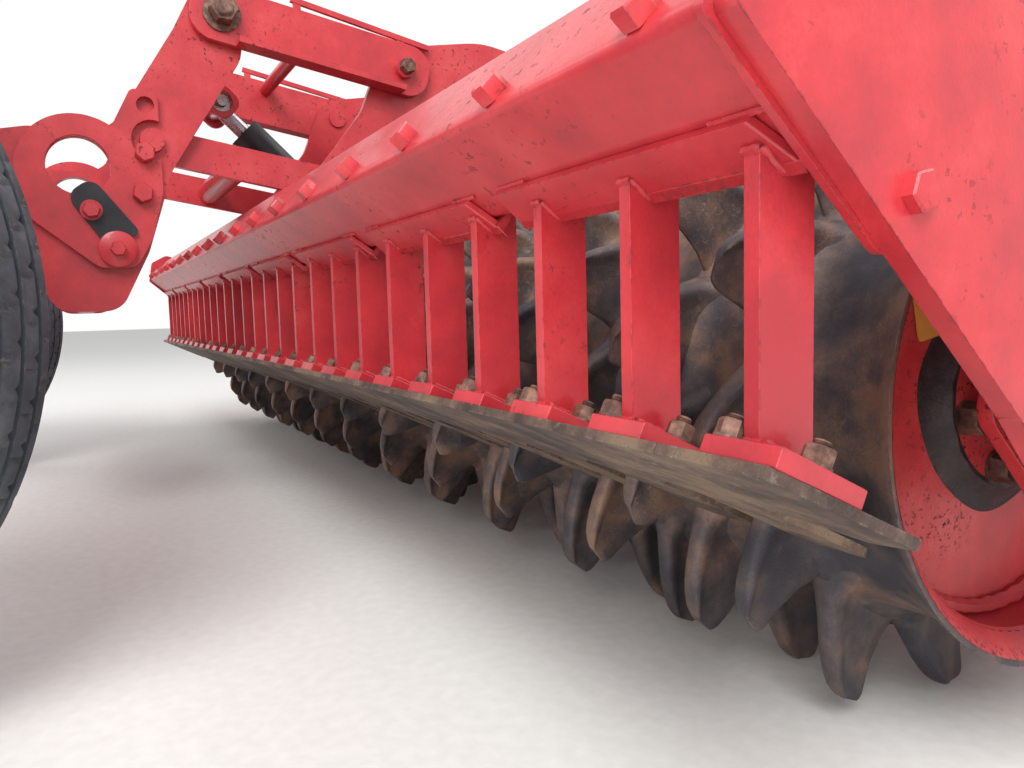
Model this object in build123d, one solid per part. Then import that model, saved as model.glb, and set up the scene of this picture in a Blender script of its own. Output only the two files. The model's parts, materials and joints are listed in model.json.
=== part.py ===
"""Power harrow with a toothed packer roller, its scrapers and a rear linkage on two caster wheels.

Row frame: +X to the machine's right, +Y forward (tractor side), +Z up, the floor at z = 0.
Side profiles are rows of (y, z) or (y, z, corner radius), with y counted from the roller's axis.
"""
import os
from math import cos, radians, sin, sqrt, tan

from build123d import *

os.makedirs("parts", exist_ok=True)

# Widths: the inner face of the side arms, and what stands back from it
ARM_IN = 1484.0
ARM_T = 15.0
DRUM_GAP = 79.0        # arm to the drum's rim
TROUGH_GAP = 28.0      # arm to the trough's end
DRUM_HALF = ARM_IN - DRUM_GAP
TROUGH_HALF = ARM_IN - TROUGH_GAP
PIN_GAP = 0.4          # running gap round pins and shafts of separate bodies

# Packer roller
ROLLER_Z = 300.0
TIP_R = 300.0
BAND_R = 219.0         # where the teeth leave their ring
DRUM_R = 205.0
DRUM_WALL = 8.0
RIM_R = 222.0
RIM_W = 12.0
TEETH = 12
TOOTH_T = 18.0
TOOTH_PHASES = (6.0, 20.0)   # degrees, even and odd rings
TOOTH_ROWS = ((-11.5, 0.0), (-5.2, 0.62), (-2.8, 0.93), (0.4, 1.0), (2.6, 0.9), (9.5, 0.0))
BARE_END = 60.0        # drum left without rings at each end
DISC_INSET = 62.0
DISC_T = 10.0
HUB_R = 78.0
HUB_T = 14.0
STUB_R = 35.0
STUB_PROUD = 8.0
BEARING_R = 60.0
BEARING_IN = 94.0      # arm's inner face to the flange's inner face
FLANGE_T = 14.0
FLANGE_CORNER = 110.0  # axis to a corner of the bearing's flange
FLANGE_ROUND = 24.0

# Scrapers
POST_PITCH = 112.0
POSTS_PER_HOLDER = 3
POST_T = 12.0
POST_D = 40.0
POST_Y = -400.0        # rear edge of the posts
POST_FOOT_Z = 310.0    # rear edge's lower end
POST_TOP_Z = 467.0
HOLDER_T = 10.0
HOLDER_D = 72.0
HOLDER_LEFT = 49.0     # holder's reach past its left post
HOLDER_RIGHT = 22.0
SCRAPER_SLOPE = 26.0   # degrees, down towards the drum
FOOT_W = 66.0
FOOT_L = 70.0
FOOT_T = 12.0
FOOT_BACK = 12.0       # foot behind the post's rear edge
BLADE_T = 7.0
BLADE_TIP_W = 66.0
BLADE_L = 232.0
BLADE_BACK = 16.0
BLADE_GAP = 1.0
POST_COUNT = 2 * int((ARM_IN - POST_T - 10) / POST_PITCH) + 1
BEAM_D = 80.0
BEAM_H = 70.0
BEAM_WALL = 6.0
CAP_T = 6.0

# Side arms, as (y, z)
ARM_PIVOT = (640.0, 560.0)
PIVOT_R = 25.0

# Gear trough and rotors
ROTOR_PITCH = 290.0
ROTORS = 2 * int(TROUGH_HALF / ROTOR_PITCH)
ROTOR_Y = 580.0
TINE_R = 132.0
TINE_T = 16.0
ROTOR_SHAFT_R = 30.0
HOUSING_R = 62.0
HOUSING_Z = 374.0
CARRIER_Z = (320.0, 368.0)
TROUGH_FLOOR = 420.0
TROUGH_TOP = 610.0
TROUGH_HALF_W = 150.0
FLOOR_HALF_W = 100.0
TROUGH_WALL = 8.0
EDGE_W = 35.0
EDGE_T = 10.0
COVER_T = 12.0
COVER_TOP = TROUGH_TOP + COVER_T
END_T = 12.0
BOARD_Y = 357.0
BOARD_T = 10.0
BOARD_Z = (60.0, 230.0)
BOARD_ARM_PITCH = 800.0

# Side deflectors
DEFLECTOR_T = 6.0
DEFLECTOR_GAP = 4.0
DEFLECTOR_PIN_R = 9.0
DEFLECTOR_PIN_Z = 388.0
DEFLECTOR_X = TROUGH_HALF + END_T + DEFLECTOR_GAP + DEFLECTOR_T / 2

# Main frame and hitch
FRAME_HALF = 900.0
FRAME_H = 120.0
FRAME_Y = 500.0
FRAME_WALL = 8.0
FRAME_FRONT = FRAME_Y + FRAME_H / 2
FRAME_TOP = COVER_TOP + FRAME_H
HEAD_X = 160.0         # middle of a headstock plate
HEAD_T = 20.0
HITCH_X = 482.5
EAR_GAP = 104.0
EAR_T = 16.0
HITCH_PIN_R = 18.3
STUD_L = 60.0          # hitch pin free outside its outer ear
HITCH_PIN = (1010.0, 560.0)
HITCH_NOSE = 50.0
TOP_LINK = (985.0, 1165.0)
TOP_LINK_R = 16.0
TOP_LINK_GAP = 56.0
TOP_EAR_T = 16.0
PTO_Z = 812.0
PTO_R = 17.4
PTO_L = 75.0
GEARBOX_HALF = 130.0
GEARBOX_FRONT = 840.0

# Rear linkage, pins as (y, z)
CHEEK_X = (210.0, 226.0)
UPPER_X = (230.0, 244.0)
LOWER_X = (190.0, 206.0)
PIN_UP_FRAME = (-117.0, 854.0)
PIN_LOW_FRAME = (-241.0, 631.0)
LINK_VECTOR = (-334.0, 57.0)
PIN_UP = (PIN_UP_FRAME[0] + LINK_VECTOR[0], PIN_UP_FRAME[1] + LINK_VECTOR[1])
PIN_LOW = (PIN_LOW_FRAME[0] + LINK_VECTOR[0], PIN_LOW_FRAME[1] + LINK_VECTOR[1])
LINK_PIN_R = 20.0
UPPER_H = 96.0
LOWER_H = 60.0
LEVER_T = 14.0
TOWER_TUBE = (-20.0, 830.0)
TOWER_TUBE_R = 45.0
AXLE_TUBE = (-686.0, 455.0)
AXLE_TUBE_R = 55.0

# Lift cylinder
CYL_FOOT = PIN_LOW_FRAME
CYL_TUBE = (-470.0, 850.0)
CYL_TUBE_R = 30.0
CYL_R = 34.0
CYL_BORE_R = 28.0
CYL_ROD_R = 16.0
CYL_FOOT_PIN_R = 16.0
CYL_EYE_BACK = 60.0    # rod eye short of the carrier's tube
CYL_LUG_X = (42.0, 54.0)

# Wheels
BEAM_END = 380.0
BEAM_SIDE = 96.0
BEAM_MID = (-910.0, 610.0)
RISER_W = 90.0
WHEEL_X = 784.0
WHEEL_Y = -1121.0
WHEEL_R = 400.0
WHEEL_W = 210.0
RIM_SEAT_R = 205.0
WHEEL_TURN = 26.0      # degrees each caster stands turned as parked
TRAIL = 60.0
KING_R = 30.0
HEAD_R = 58.0
HEAD_Z = (WHEEL_R + 480.0, WHEEL_R + 605.0)
FORK_IN = 130.0        # inner face of a fork leg from the wheel's middle plane
FORK_T = 20.0
AXLE_R = 20.0

turn = radians(WHEEL_TURN)
half = WHEEL_W / 2
# Tyre section: (radius, across)
TYRE_SECTION = (
    (RIM_SEAT_R - 10, half - 23), (WHEEL_R - 110, half), (WHEEL_R - 14, half - 17.5), (WHEEL_R, 30),
)
tyre_reach = max(r * cos(turn) + across * sin(turn) for r, across in TYRE_SECTION)
ROLLER_Y = (tyre_reach - WHEEL_Y - HITCH_PIN[0] - HITCH_NOSE) / 2


def box(x0, x1, y0, y1, z0, z1):
    """Box between two corners, y from the roller axis."""
    mid = ((x0 + x1) / 2, ROLLER_Y + (y0 + y1) / 2, (z0 + z1) / 2)
    return Pos(*mid) * Box(abs(x1 - x0), abs(y1 - y0), abs(z1 - z0))


def outline(rows):
    """Face from rows of (a, b) or (a, b, corner radius)."""
    face = Polygon(*[row[:2] for row in rows], align=None)
    for radius in sorted({row[2] for row in rows if len(row) > 2}):
        spots = [row for row in rows if len(row) > 2 and row[2] == radius]
        corners = []
        for vertex in face.vertices():
            if any(abs(vertex.X - s[0]) + abs(vertex.Y - s[1]) < 0.01 for s in spots):
                corners.append(vertex)
        face = fillet(corners, radius)
    return face


def plate(rows, x0, x1):
    """Side profile extruded from x0 to x1."""
    side = Plane(origin=(min(x0, x1), ROLLER_Y, 0), x_dir=(0, 1, 0), z_dir=(1, 0, 0))
    return extrude(side * outline(rows), amount=abs(x1 - x0), dir=(1, 0, 0))


def rod_x(radius, x0, x1, y, z):
    """Cylinder along X."""
    place = Pos((x0 + x1) / 2, ROLLER_Y + y, z) * Rot(0, 90, 0)
    return place * Cylinder(radius, abs(x1 - x0))


def rod_y(radius, y0, y1, x, z):
    """Cylinder along Y."""
    place = Pos(x, ROLLER_Y + (y0 + y1) / 2, z) * Rot(90, 0, 0)
    return place * Cylinder(radius, abs(y1 - y0))


def rod_z(radius, z0, z1, x, y):
    """Cylinder along Z."""
    return Pos(x, ROLLER_Y + y, (z0 + z1) / 2) * Cylinder(radius, abs(z1 - z0))


def save(name, shape):
    """Write one node."""
    shape.label = name
    export_step(shape, f"parts/{name}.step")


# Toothed drum: hooked rings fused onto a tube
def tooth_ring(x, phase):
    """One ring of teeth on its band, its middle plane at x."""
    points = []
    for k in range(TEETH):
        mid = phase + k * 360 / TEETH
        for angle, rise in TOOTH_ROWS:
            radius = BAND_R + rise * (TIP_R - BAND_R)
            a = radians(mid + angle)
            points.append((-radius * cos(a), ROLLER_Z - radius * sin(a)))
    return plate(points, x - TOOTH_T / 2, x + TOOTH_T / 2)


def post_x(n):
    """Middle of scraper post n, counted from the right."""
    return ((POST_COUNT - 1) / 2 - n) * POST_PITCH


drum = rod_x(DRUM_R, -DRUM_HALF, DRUM_HALF, 0, ROLLER_Z)
for side in (1, -1):
    drum += rod_x(RIM_R, side * (DRUM_HALF - RIM_W), side * DRUM_HALF, 0, ROLLER_Z)
rings = []
for n in range(POST_COUNT - 1):
    ring_x = post_x(n) - POST_PITCH / 2
    if abs(ring_x) < DRUM_HALF - BARE_END:
        rings.append(tooth_ring(ring_x, TOOTH_PHASES[n % 2]))
drum += rings
drum -= rod_x(DRUM_R - DRUM_WALL, -DRUM_HALF - 1, DRUM_HALF + 1, 0, ROLLER_Z)
save("packer_drum", drum)

ends = []
for side in (1, -1):
    face_x = side * (DRUM_HALF - DISC_INSET)
    disc = rod_x(DRUM_R - DRUM_WALL, face_x - side * DISC_T, face_x, 0, ROLLER_Z)
    disc += rod_x(HUB_R, face_x, face_x + side * HUB_T, 0, ROLLER_Z)
    disc += rod_x(STUB_R, face_x, side * (ARM_IN + ARM_T + STUB_PROUD), 0, ROLLER_Z)
    ends.append(disc)
save("drum_ends", Compound(children=ends))

# Roller frame: side arms, bearings, beam, holders with posts, blades
ARM_ROWS = (
    (-452, 520, 6), (-430, 572, 12), (-180, 612, 60), (380, 640, 80), (600, 640, 30),
    (700, 600, 40), (700, 520, 40), (600, 480, 60), (360, 470, 80), (190, 360, 80),
    (130, 200, 50), (60, 160, 50), (-60, 160, 50), (-130, 205, 40), (-228, 313, 30),
)
FLANGE_ROWS = (
    (-FLANGE_CORNER, ROLLER_Z, FLANGE_ROUND), (0, ROLLER_Z - FLANGE_CORNER, FLANGE_ROUND),
    (FLANGE_CORNER, ROLLER_Z, FLANGE_ROUND), (0, ROLLER_Z + FLANGE_CORNER, FLANGE_ROUND),
)
bearings = []
for side, word in ((1, "right"), (-1, "left")):
    outer = side * (ARM_IN + ARM_T)
    arm = plate(ARM_ROWS, side * ARM_IN, outer)
    arm -= rod_x(PIVOT_R + PIN_GAP, side * (ARM_IN - 5), outer + side * 5, *ARM_PIVOT)
    arm -= rod_x(BEARING_R, side * (ARM_IN - 5), outer + side * 5, 0, ROLLER_Z)
    save(f"roller_arm_{word}", arm)
    flange_in = ARM_IN - BEARING_IN
    bearing = rod_x(BEARING_R - 0.3, side * (flange_in - 6), outer + side * 5, 0, ROLLER_Z)
    bearing += plate(FLANGE_ROWS, side * flange_in, side * (flange_in + FLANGE_T))
    bearing += rod_x(BEARING_R + 18, side * (ARM_IN - 12), side * ARM_IN, 0, ROLLER_Z)
    bearing -= rod_x(STUB_R + 0.05, side * (flange_in - 10), outer + side * 10, 0, ROLLER_Z)
    bearings.append(bearing)
save("roller_bearings", Compound(children=bearings))

seat_z = POST_TOP_Z + HOLDER_T
beam = plate(
    ((-452.5, seat_z + 66), (-389.3, seat_z), (-375, seat_z), (-447, seat_z + 73)),
    -ARM_IN, ARM_IN,
)
tube_y = -381 + BEAM_D
tube = box(-ARM_IN, ARM_IN, -381, tube_y, seat_z, seat_z + BEAM_H)
tube -= box(
    -ARM_IN - 1, ARM_IN + 1, -381 + BEAM_WALL, tube_y - BEAM_WALL,
    seat_z + BEAM_WALL, seat_z + BEAM_H - BEAM_WALL,
)
cap_z = seat_z + BEAM_H
cap = box(-ARM_IN, ARM_IN, -452, tube_y, cap_z, cap_z + CAP_T)
save("scraper_beam", beam + tube + cap)

slope = tan(radians(SCRAPER_SLOPE))
holder_y = POST_Y - 2
for holder, first in enumerate(range(0, POST_COUNT, POSTS_PER_HOLDER)):
    posts = [post_x(n) for n in range(first, min(first + POSTS_PER_HOLDER, POST_COUNT))]
    left = max(posts[-1] - HOLDER_LEFT, -ARM_IN)
    right = posts[0] + HOLDER_RIGHT
    top = Polygon(
        (left, ROLLER_Y + holder_y), (right, ROLLER_Y + holder_y),
        (right, ROLLER_Y + holder_y + 30), (right - 22, ROLLER_Y + holder_y + HOLDER_D),
        (left, ROLLER_Y + holder_y + HOLDER_D), align=None,
    )
    shape = extrude(Pos(0, 0, POST_TOP_Z) * top, amount=HOLDER_T, dir=(0, 0, 1))
    lip = ((holder_y, seat_z), (-389.3, seat_z), (-397.0, seat_z + 8), (holder_y, seat_z + 8))
    shape += plate(lip, left, right - 22)
    for x in posts:
        front = POST_Y + POST_D
        rows = (
            (POST_Y, POST_TOP_Z), (POST_Y, POST_FOOT_Z),
            (front, POST_FOOT_Z - slope * POST_D), (front, POST_TOP_Z),
        )
        shape += plate(rows, x - POST_T / 2, x + POST_T / 2)
        foot = Pos(0, FOOT_L / 2 - FOOT_BACK, -FOOT_T / 2) * Box(FOOT_W, FOOT_L, FOOT_T)
        place = Pos(x, ROLLER_Y + POST_Y, POST_FOOT_Z) * Rot(-SCRAPER_SLOPE, 0, 0)
        shape += place * foot
    save(f"scraper_holder_{holder + 1}", shape)

blades = []
for n in range(POST_COUNT):
    across = (POST_PITCH - BLADE_GAP) / 2
    tip = BLADE_TIP_W / 2
    if n in (0, POST_COUNT - 1):
        side = 1 if n == 0 else -1
        reach = ARM_IN - abs(post_x(n)) + 11
        rows = (
            (-side * across, -BLADE_BACK), (side * (reach - 8), -BLADE_BACK),
            (side * reach, 104), (-side * 10, 128), (-side * across, 96),
        )
    else:
        rows = (
            (-across, -BLADE_BACK), (across, -BLADE_BACK), (across, 96), (tip, 112),
            (tip, BLADE_L, 14), (-tip, BLADE_L, 14), (-tip, 112), (-across, 96),
        )
    blade = extrude(outline(rows), amount=BLADE_T, dir=(0, 0, -1))
    place = Pos(post_x(n), ROLLER_Y + POST_Y, POST_FOOT_Z) * Rot(-SCRAPER_SLOPE, 0, 0)
    blades.append(place * Pos(0, 0, -FOOT_T) * blade)
save("scraper_blades", Compound(children=blades))

# Gear trough with its rotor housings, cover and ends
edge_half = TROUGH_HALF_W + EDGE_W


def trough_rows(inset, top):
    """The trough's section, a wall further in where inset is one."""
    w = TROUGH_HALF_W - inset
    f = FLOOR_HALF_W - inset / 2
    low = TROUGH_FLOOR + inset
    return (
        (ROTOR_Y - w, top), (ROTOR_Y - w, low + 50), (ROTOR_Y - f, low),
        (ROTOR_Y + f, low), (ROTOR_Y + w, low + 50), (ROTOR_Y + w, top),
    )


trough = plate(trough_rows(0, TROUGH_TOP), -TROUGH_HALF, TROUGH_HALF)
hollow = TROUGH_HALF - TROUGH_WALL
trough -= plate(trough_rows(TROUGH_WALL, TROUGH_TOP + 1), -hollow, hollow)
for side in (1, -1):
    edge = ROTOR_Y + side * TROUGH_HALF_W
    trough += box(
        -TROUGH_HALF, TROUGH_HALF, edge, edge + side * EDGE_W, TROUGH_TOP - EDGE_T, TROUGH_TOP,
    )
rotor_x = [(k - (ROTORS - 1) / 2) * ROTOR_PITCH for k in range(ROTORS)]
for x in rotor_x:
    trough += rod_z(HOUSING_R, HOUSING_Z, TROUGH_FLOOR + 4, x, ROTOR_Y)
    trough += rod_z(HOUSING_R + 22, TROUGH_FLOOR - 14, TROUGH_FLOOR + 4, x, ROTOR_Y)
    trough -= rod_z(ROTOR_SHAFT_R + PIN_GAP, HOUSING_Z - 4, TROUGH_FLOOR - 6, x, ROTOR_Y)
save("gear_trough", trough)

cover = box(
    -TROUGH_HALF, TROUGH_HALF, ROTOR_Y - edge_half, ROTOR_Y + edge_half, TROUGH_TOP, COVER_TOP,
)
save("trough_cover", cover)

ends = []
for side in (1, -1):
    inner_x = side * TROUGH_HALF
    outer_x = side * (TROUGH_HALF + END_T)
    end = plate(
        ((390, 700, 20), (390, 440, 30), (440, 405, 30), (720, 405, 30), (770, 440, 30),
         (770, 650, 40), (720, 700, 40)),
        inner_x, outer_x,
    )
    end += rod_x(PIVOT_R, outer_x, side * (ARM_IN + ARM_T + 6), *ARM_PIVOT)
    end += rod_x(PIVOT_R + 17, outer_x, side * (ARM_IN - 1), *ARM_PIVOT)
    for y in (ROTOR_Y - 156, ROTOR_Y + 142):
        end += box(
            outer_x, side * (DEFLECTOR_X + 13), y, y + 14, DEFLECTOR_PIN_Z - 15, 440,
        )
    bore = DEFLECTOR_PIN_R + PIN_GAP
    end -= rod_y(bore, ROTOR_Y - 160, ROTOR_Y + 160, side * DEFLECTOR_X, DEFLECTOR_PIN_Z)
    ends.append(end)
save("trough_ends", Compound(children=ends))

# Rotors: a carrier on its shaft with two blade tines
carrier_mid = (CARRIER_Z[0] + CARRIER_Z[1]) / 2
for k, x in enumerate(rotor_x):
    rotor = Pos(0, 0, carrier_mid + 4) * Box(2 * TINE_R + 30, 90, CARRIER_Z[1] - CARRIER_Z[0] - 8)
    rotor += Pos(0, 0, carrier_mid) * Cylinder(HOUSING_R + 4, CARRIER_Z[1] - CARRIER_Z[0])
    shaft_top = TROUGH_FLOOR - 10
    rotor += Pos(0, 0, (carrier_mid + shaft_top) / 2) * Cylinder(
        ROTOR_SHAFT_R, shaft_top - carrier_mid,
    )
    for sign in (1, -1):
        shank = outline((
            (-22, CARRIER_Z[1]), (22, CARRIER_Z[1]), (20, 200), (12, 0), (-2, 0), (-16, 160),
        ))
        face = Plane(origin=(0, 0, 0), x_dir=(0, 1, 0), z_dir=(1, 0, 0)) * shank
        blade = extrude(face, amount=TINE_T, dir=(1, 0, 0))
        rotor += Rot(0, 0, 0 if sign > 0 else 180) * Pos(TINE_R - TINE_T, 0, 0) * blade
    save(f"rotor_{k + 1}", Pos(x, ROLLER_Y + ROTOR_Y, 0) * Rot(0, 0, 45) * rotor)

# Levelling board behind the rotors, on arms under the trough's rear flange
board_top = TROUGH_TOP - EDGE_T
board_half = TROUGH_HALF - 16
board_back = BOARD_Y - BOARD_T / 2
board_face = BOARD_Y + BOARD_T / 2
board = plate(
    ((board_back, BOARD_Z[0]), (board_face, BOARD_Z[0]), (board_face, BOARD_Z[1]),
     (board_back, BOARD_Z[1])),
    -board_half, board_half,
)
arm_y = ROTOR_Y - TROUGH_HALF_W - 30
board_arm = (
    (board_face, 150), (board_face + 12, 150), (arm_y + 12, 440), (arm_y + 12, board_top),
    (arm_y, board_top), (arm_y, 440), (board_face, 230),
)
for n in range(4):
    x = (n - 1.5) * BOARD_ARM_PITCH
    board += plate(board_arm, x - 30, x + 30)
save("levelling_board", board)

# Side deflectors hinged along Y under the trough ends
for side, word in ((1, "right"), (-1, "left")):
    inner_x = side * (DEFLECTOR_X - DEFLECTOR_T / 2)
    outer_x = side * (DEFLECTOR_X + DEFLECTOR_T / 2)
    pin_half = 160.0
    rows = (
        (ROTOR_Y - 136, DEFLECTOR_PIN_Z - 2), (ROTOR_Y - 180, 120, 30), (ROTOR_Y - 140, 70, 40),
        (ROTOR_Y + 140, 70, 40), (ROTOR_Y + 180, 120, 30), (ROTOR_Y + 136, DEFLECTOR_PIN_Z - 2),
    )
    sheet = plate(rows, inner_x, outer_x)
    sheet += rod_y(
        DEFLECTOR_PIN_R, ROTOR_Y - pin_half, ROTOR_Y + pin_half,
        side * DEFLECTOR_X, DEFLECTOR_PIN_Z,
    )
    save(f"side_deflector_{word}", sheet)

# Main frame tube with the headstock and its top link ears
frame = box(-FRAME_HALF, FRAME_HALF, FRAME_Y - FRAME_H / 2, FRAME_FRONT, COVER_TOP, FRAME_TOP)
frame -= box(
    -FRAME_HALF - 1, FRAME_HALF + 1, FRAME_Y - FRAME_H / 2 + FRAME_WALL, FRAME_FRONT - FRAME_WALL,
    COVER_TOP + FRAME_WALL, FRAME_TOP - FRAME_WALL,
)
link_y, link_z = TOP_LINK
for side in (1, -1):
    frame += plate(
        ((FRAME_FRONT, COVER_TOP), (FRAME_FRONT, FRAME_TOP), (link_y - 105, link_z + 25, 20),
         (link_y - 25, link_z + 25, 20), (link_y - 25, link_z - 65, 30), (765, COVER_TOP)),
        side * (HEAD_X - HEAD_T / 2), side * (HEAD_X + HEAD_T / 2),
    )
    near = TOP_LINK_GAP / 2
    far = near + TOP_EAR_T
    lug = plate(
        ((link_y - 85, link_z - 55), (link_y - 85, link_z + 20), (link_y, link_z + 42, 20),
         (link_y + 43, link_z + 25, 30), (link_y + 43, link_z - 30, 30), (link_y, link_z - 50)),
        side * near, side * far,
    )
    frame += lug - rod_x(TOP_LINK_R, side * (near - 5), side * (far + 5), *TOP_LINK)
head_in = HEAD_X - HEAD_T / 2
head_out = HEAD_X + HEAD_T / 2
frame += box(-head_out, head_out, FRAME_FRONT, FRAME_FRONT + 40, COVER_TOP, FRAME_TOP - 20)
frame += box(-head_in, head_in, link_y - 100, link_y - 40, link_z - 55, link_z + 15)
save("headframe", frame)

hitch_y, hitch_z = HITCH_PIN
ear_top = FRAME_TOP + 38
ears = []
for side in (1, -1):
    ear = None
    for x in (HITCH_X - EAR_GAP / 2 - EAR_T / 2, HITCH_X + EAR_GAP / 2 + EAR_T / 2):
        part = plate(
            ((600, COVER_TOP), (600, ear_top, 30), (760, ear_top, 60),
             (hitch_y + 30, hitch_z + 60, 40), (hitch_y + HITCH_NOSE, hitch_z + 25, 20),
             (hitch_y + HITCH_NOSE, hitch_z - 25, 20), (hitch_y + 10, hitch_z - 60, 20),
             (hitch_y - 50, hitch_z - 60, 30), (765, COVER_TOP)),
            side * (x - EAR_T / 2), side * (x + EAR_T / 2),
        )
        ear = part if ear is None else ear + part
    near = HITCH_X - EAR_GAP / 2
    far = HITCH_X + EAR_GAP / 2
    ear += box(side * near, side * far, 600, 616, COVER_TOP, ear_top)
    ear += rod_x(HITCH_PIN_R, side * (near - EAR_T - 8), side * (far + EAR_T + STUD_L), *HITCH_PIN)
    ears.append(ear)
save("hitch_brackets", Compound(children=ears))

gear_front = FRAME_FRONT + 41
gearbox = box(-GEARBOX_HALF, GEARBOX_HALF, gear_front, GEARBOX_FRONT, COVER_TOP, PTO_Z + 110)
gearbox = fillet(gearbox.edges().filter_by(Axis.Z), 25)
gearbox += box(-GEARBOX_HALF - 18, GEARBOX_HALF + 18, gear_front, GEARBOX_FRONT, COVER_TOP, 640)
gearbox += rod_z(95, PTO_Z + 110, PTO_Z + 122, 0, (gear_front + GEARBOX_FRONT) / 2)
gearbox += rod_y(70, GEARBOX_FRONT, GEARBOX_FRONT + 35, 0, PTO_Z)
gearbox -= rod_y(PTO_R + 10.05, GEARBOX_FRONT - 40, GEARBOX_FRONT + 40, 0, PTO_Z)
save("gearbox", gearbox)

shaft = rod_y(PTO_R + 10, GEARBOX_FRONT - 39, GEARBOX_FRONT + 45, 0, PTO_Z)
shaft += rod_y(PTO_R, GEARBOX_FRONT + 45, GEARBOX_FRONT + 45 + PTO_L, 0, PTO_Z)
save("pto_shaft", shaft)

# Rear tower that carries the linkage and the cylinder's foot
TOWER_ROWS = (
    (440, FRAME_TOP), (440, 860, 40), (60, 930, 200), (-117, 900, 40), (-160, 870, 30),
    (-200, 770, 60), (-285, 660, 30), (-285, 600, 25), (-215, 590, 25), (-60, 690, 150),
    (380, FRAME_TOP),
)
CYL_LUG_ROWS = (
    (-60, 850), (20, 850), (-10, 770, 60), (-215, 600, 30), (-265, 605, 25), (-270, 655, 25),
)
rear = None
for side in (1, -1):
    cheek = plate(TOWER_ROWS, side * CHEEK_X[0], side * CHEEK_X[1])
    for pin in (PIN_UP_FRAME, PIN_LOW_FRAME):
        cheek -= rod_x(LINK_PIN_R, side * (CHEEK_X[0] - 5), side * (CHEEK_X[1] + 5), *pin)
    rear = cheek if rear is None else rear + cheek
rear += rod_x(TOWER_TUBE_R, -CHEEK_X[0], CHEEK_X[0], *TOWER_TUBE)
rear += box(-CHEEK_X[1], CHEEK_X[1], 440, FRAME_FRONT, FRAME_TOP, FRAME_TOP + 18)
for side in (1, -1):
    rear += plate(CYL_LUG_ROWS, side * (CYL_LUG_X[0] + 2), side * (CYL_LUG_X[1] + 4))
rear += rod_x(CYL_FOOT_PIN_R, -CYL_LUG_X[1], CYL_LUG_X[1], *PIN_LOW_FRAME)
rear += box(-CHEEK_X[0], CHEEK_X[0], 300, 340, 760, 820)
save("rear_tower", rear)

# Link arms: upper and lower pairs, round-ended, with their pins
LINK_L = sqrt(LINK_VECTOR[0] ** 2 + LINK_VECTOR[1] ** 2)
LINK_U = (LINK_VECTOR[0] / LINK_L, LINK_VECTOR[1] / LINK_L)


def on_link(start, along, up):
    """Point at a distance along a link and square to it."""
    return (
        start[0] + LINK_U[0] * along + LINK_U[1] * up,
        start[1] + LINK_U[1] * along - LINK_U[0] * up,
    )


def link_arm(start, x0, x1, height, flange):
    """One arm between its pins, with a lower flange where one is given."""
    low = -height / 2
    end = height / 2 + 4
    r = height / 2 - 6
    corners = ((-end, low, r), (LINK_L + end, low, r), (LINK_L + end, -low, r), (-end, -low, r))
    arm = plate([(*on_link(start, a, b), r) for a, b, r in corners], x0, x1)
    if flange:
        lip = ((0, low), (LINK_L - 30, low), (LINK_L - 30, low + 10), (0, low + 10))
        arm += plate([on_link(start, *c) for c in lip], x0, x0 + flange)
    return arm


for name, start, span, height, flange in (
    ("upper_links", PIN_UP_FRAME, UPPER_X, UPPER_H, 44),
    ("lower_links", PIN_LOW_FRAME, LOWER_X, LOWER_H, 0),
):
    pair = None
    for side in (1, -1):
        arm = link_arm(start, side * span[0], side * span[1], height, side * flange)
        for pin in (start, on_link(start, LINK_L, 0)):
            low, high = sorted((span[0], CHEEK_X[0], span[1], CHEEK_X[1]))[::3]
            arm += rod_x(LINK_PIN_R - PIN_GAP, side * (low - 6), side * (high + 14), *pin)
        pair = arm if pair is None else pair + arm
    if name == "lower_links":
        pair += rod_x(24, -LOWER_X[0] - 2, LOWER_X[0] + 2, *on_link(start, LINK_L * 0.55, 0))
    else:
        pair += rod_x(14, -UPPER_X[0] - 2, UPPER_X[0] + 2, *on_link(start, LINK_L * 0.5, 30))
    save(name, pair)

# Wheel carrier: side plates, lever plates, cross tubes, risers and caster heads
CARRIER_ROWS = (
    (-405, 950, 40), (-490, 960, 40), (-530, 880, 60), (-640, 700, 60), (-760, 700, 60),
    (-960, 660), (-960, 560), (-760, 500, 60), (-745, 400, 40), (-640, 400, 40),
    (-590, 500, 60), (-545, 640, 60), (-420, 840, 60),
)
LEVER_ROWS = (
    (-563, 770, 12), (-563, 600, 40), (-585, 520, 30), (-612, 472, 25), (-668, 472, 30),
    (-775, 560, 50), (-775, 660, 50), (-640, 700, 20), (-605, 770, 12),
)
ARCH = (-690.0, 640.0)
cheeks = []
levers = []
for side in (1, -1):
    inner, outer = side * CHEEK_X[0], side * CHEEK_X[1]
    cheek = plate(CARRIER_ROWS, inner, outer)
    for pin in (PIN_UP, PIN_LOW):
        cheek -= rod_x(LINK_PIN_R, inner - side * 5, outer + side * 5, *pin)
    cheek -= rod_x(48, inner - side * 5, outer + side * 5, *ARCH)
    cheeks.append(cheek)
    far = outer + side * LEVER_T
    lever = plate(LEVER_ROWS, outer, far)
    lever += rod_x(92, outer, far, ARCH[0], ARCH[1] - 10)
    lever -= rod_x(48, outer - side, far + side, *ARCH)
    lever -= rod_x(33, outer - side, far + side, *PIN_LOW)
    lever -= rod_x(14, outer - side, far + side, -583, 745)
    levers.append(lever)
save("carrier_plates", Compound(children=cheeks))
save("lever_plates", Compound(children=levers))

cyl_dy = CYL_TUBE[0] - CYL_FOOT[0]
cyl_dz = CYL_TUBE[1] - CYL_FOOT[1]
CYL_L = sqrt(cyl_dy ** 2 + cyl_dz ** 2)
CYL_EYE = CYL_L - CYL_EYE_BACK


def on_cylinder(along, up):
    """Point at a distance along the lift cylinder and square to it."""
    return (
        CYL_FOOT[0] + (cyl_dy * along - cyl_dz * up) / CYL_L,
        CYL_FOOT[1] + (cyl_dz * along + cyl_dy * up) / CYL_L,
    )


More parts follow.
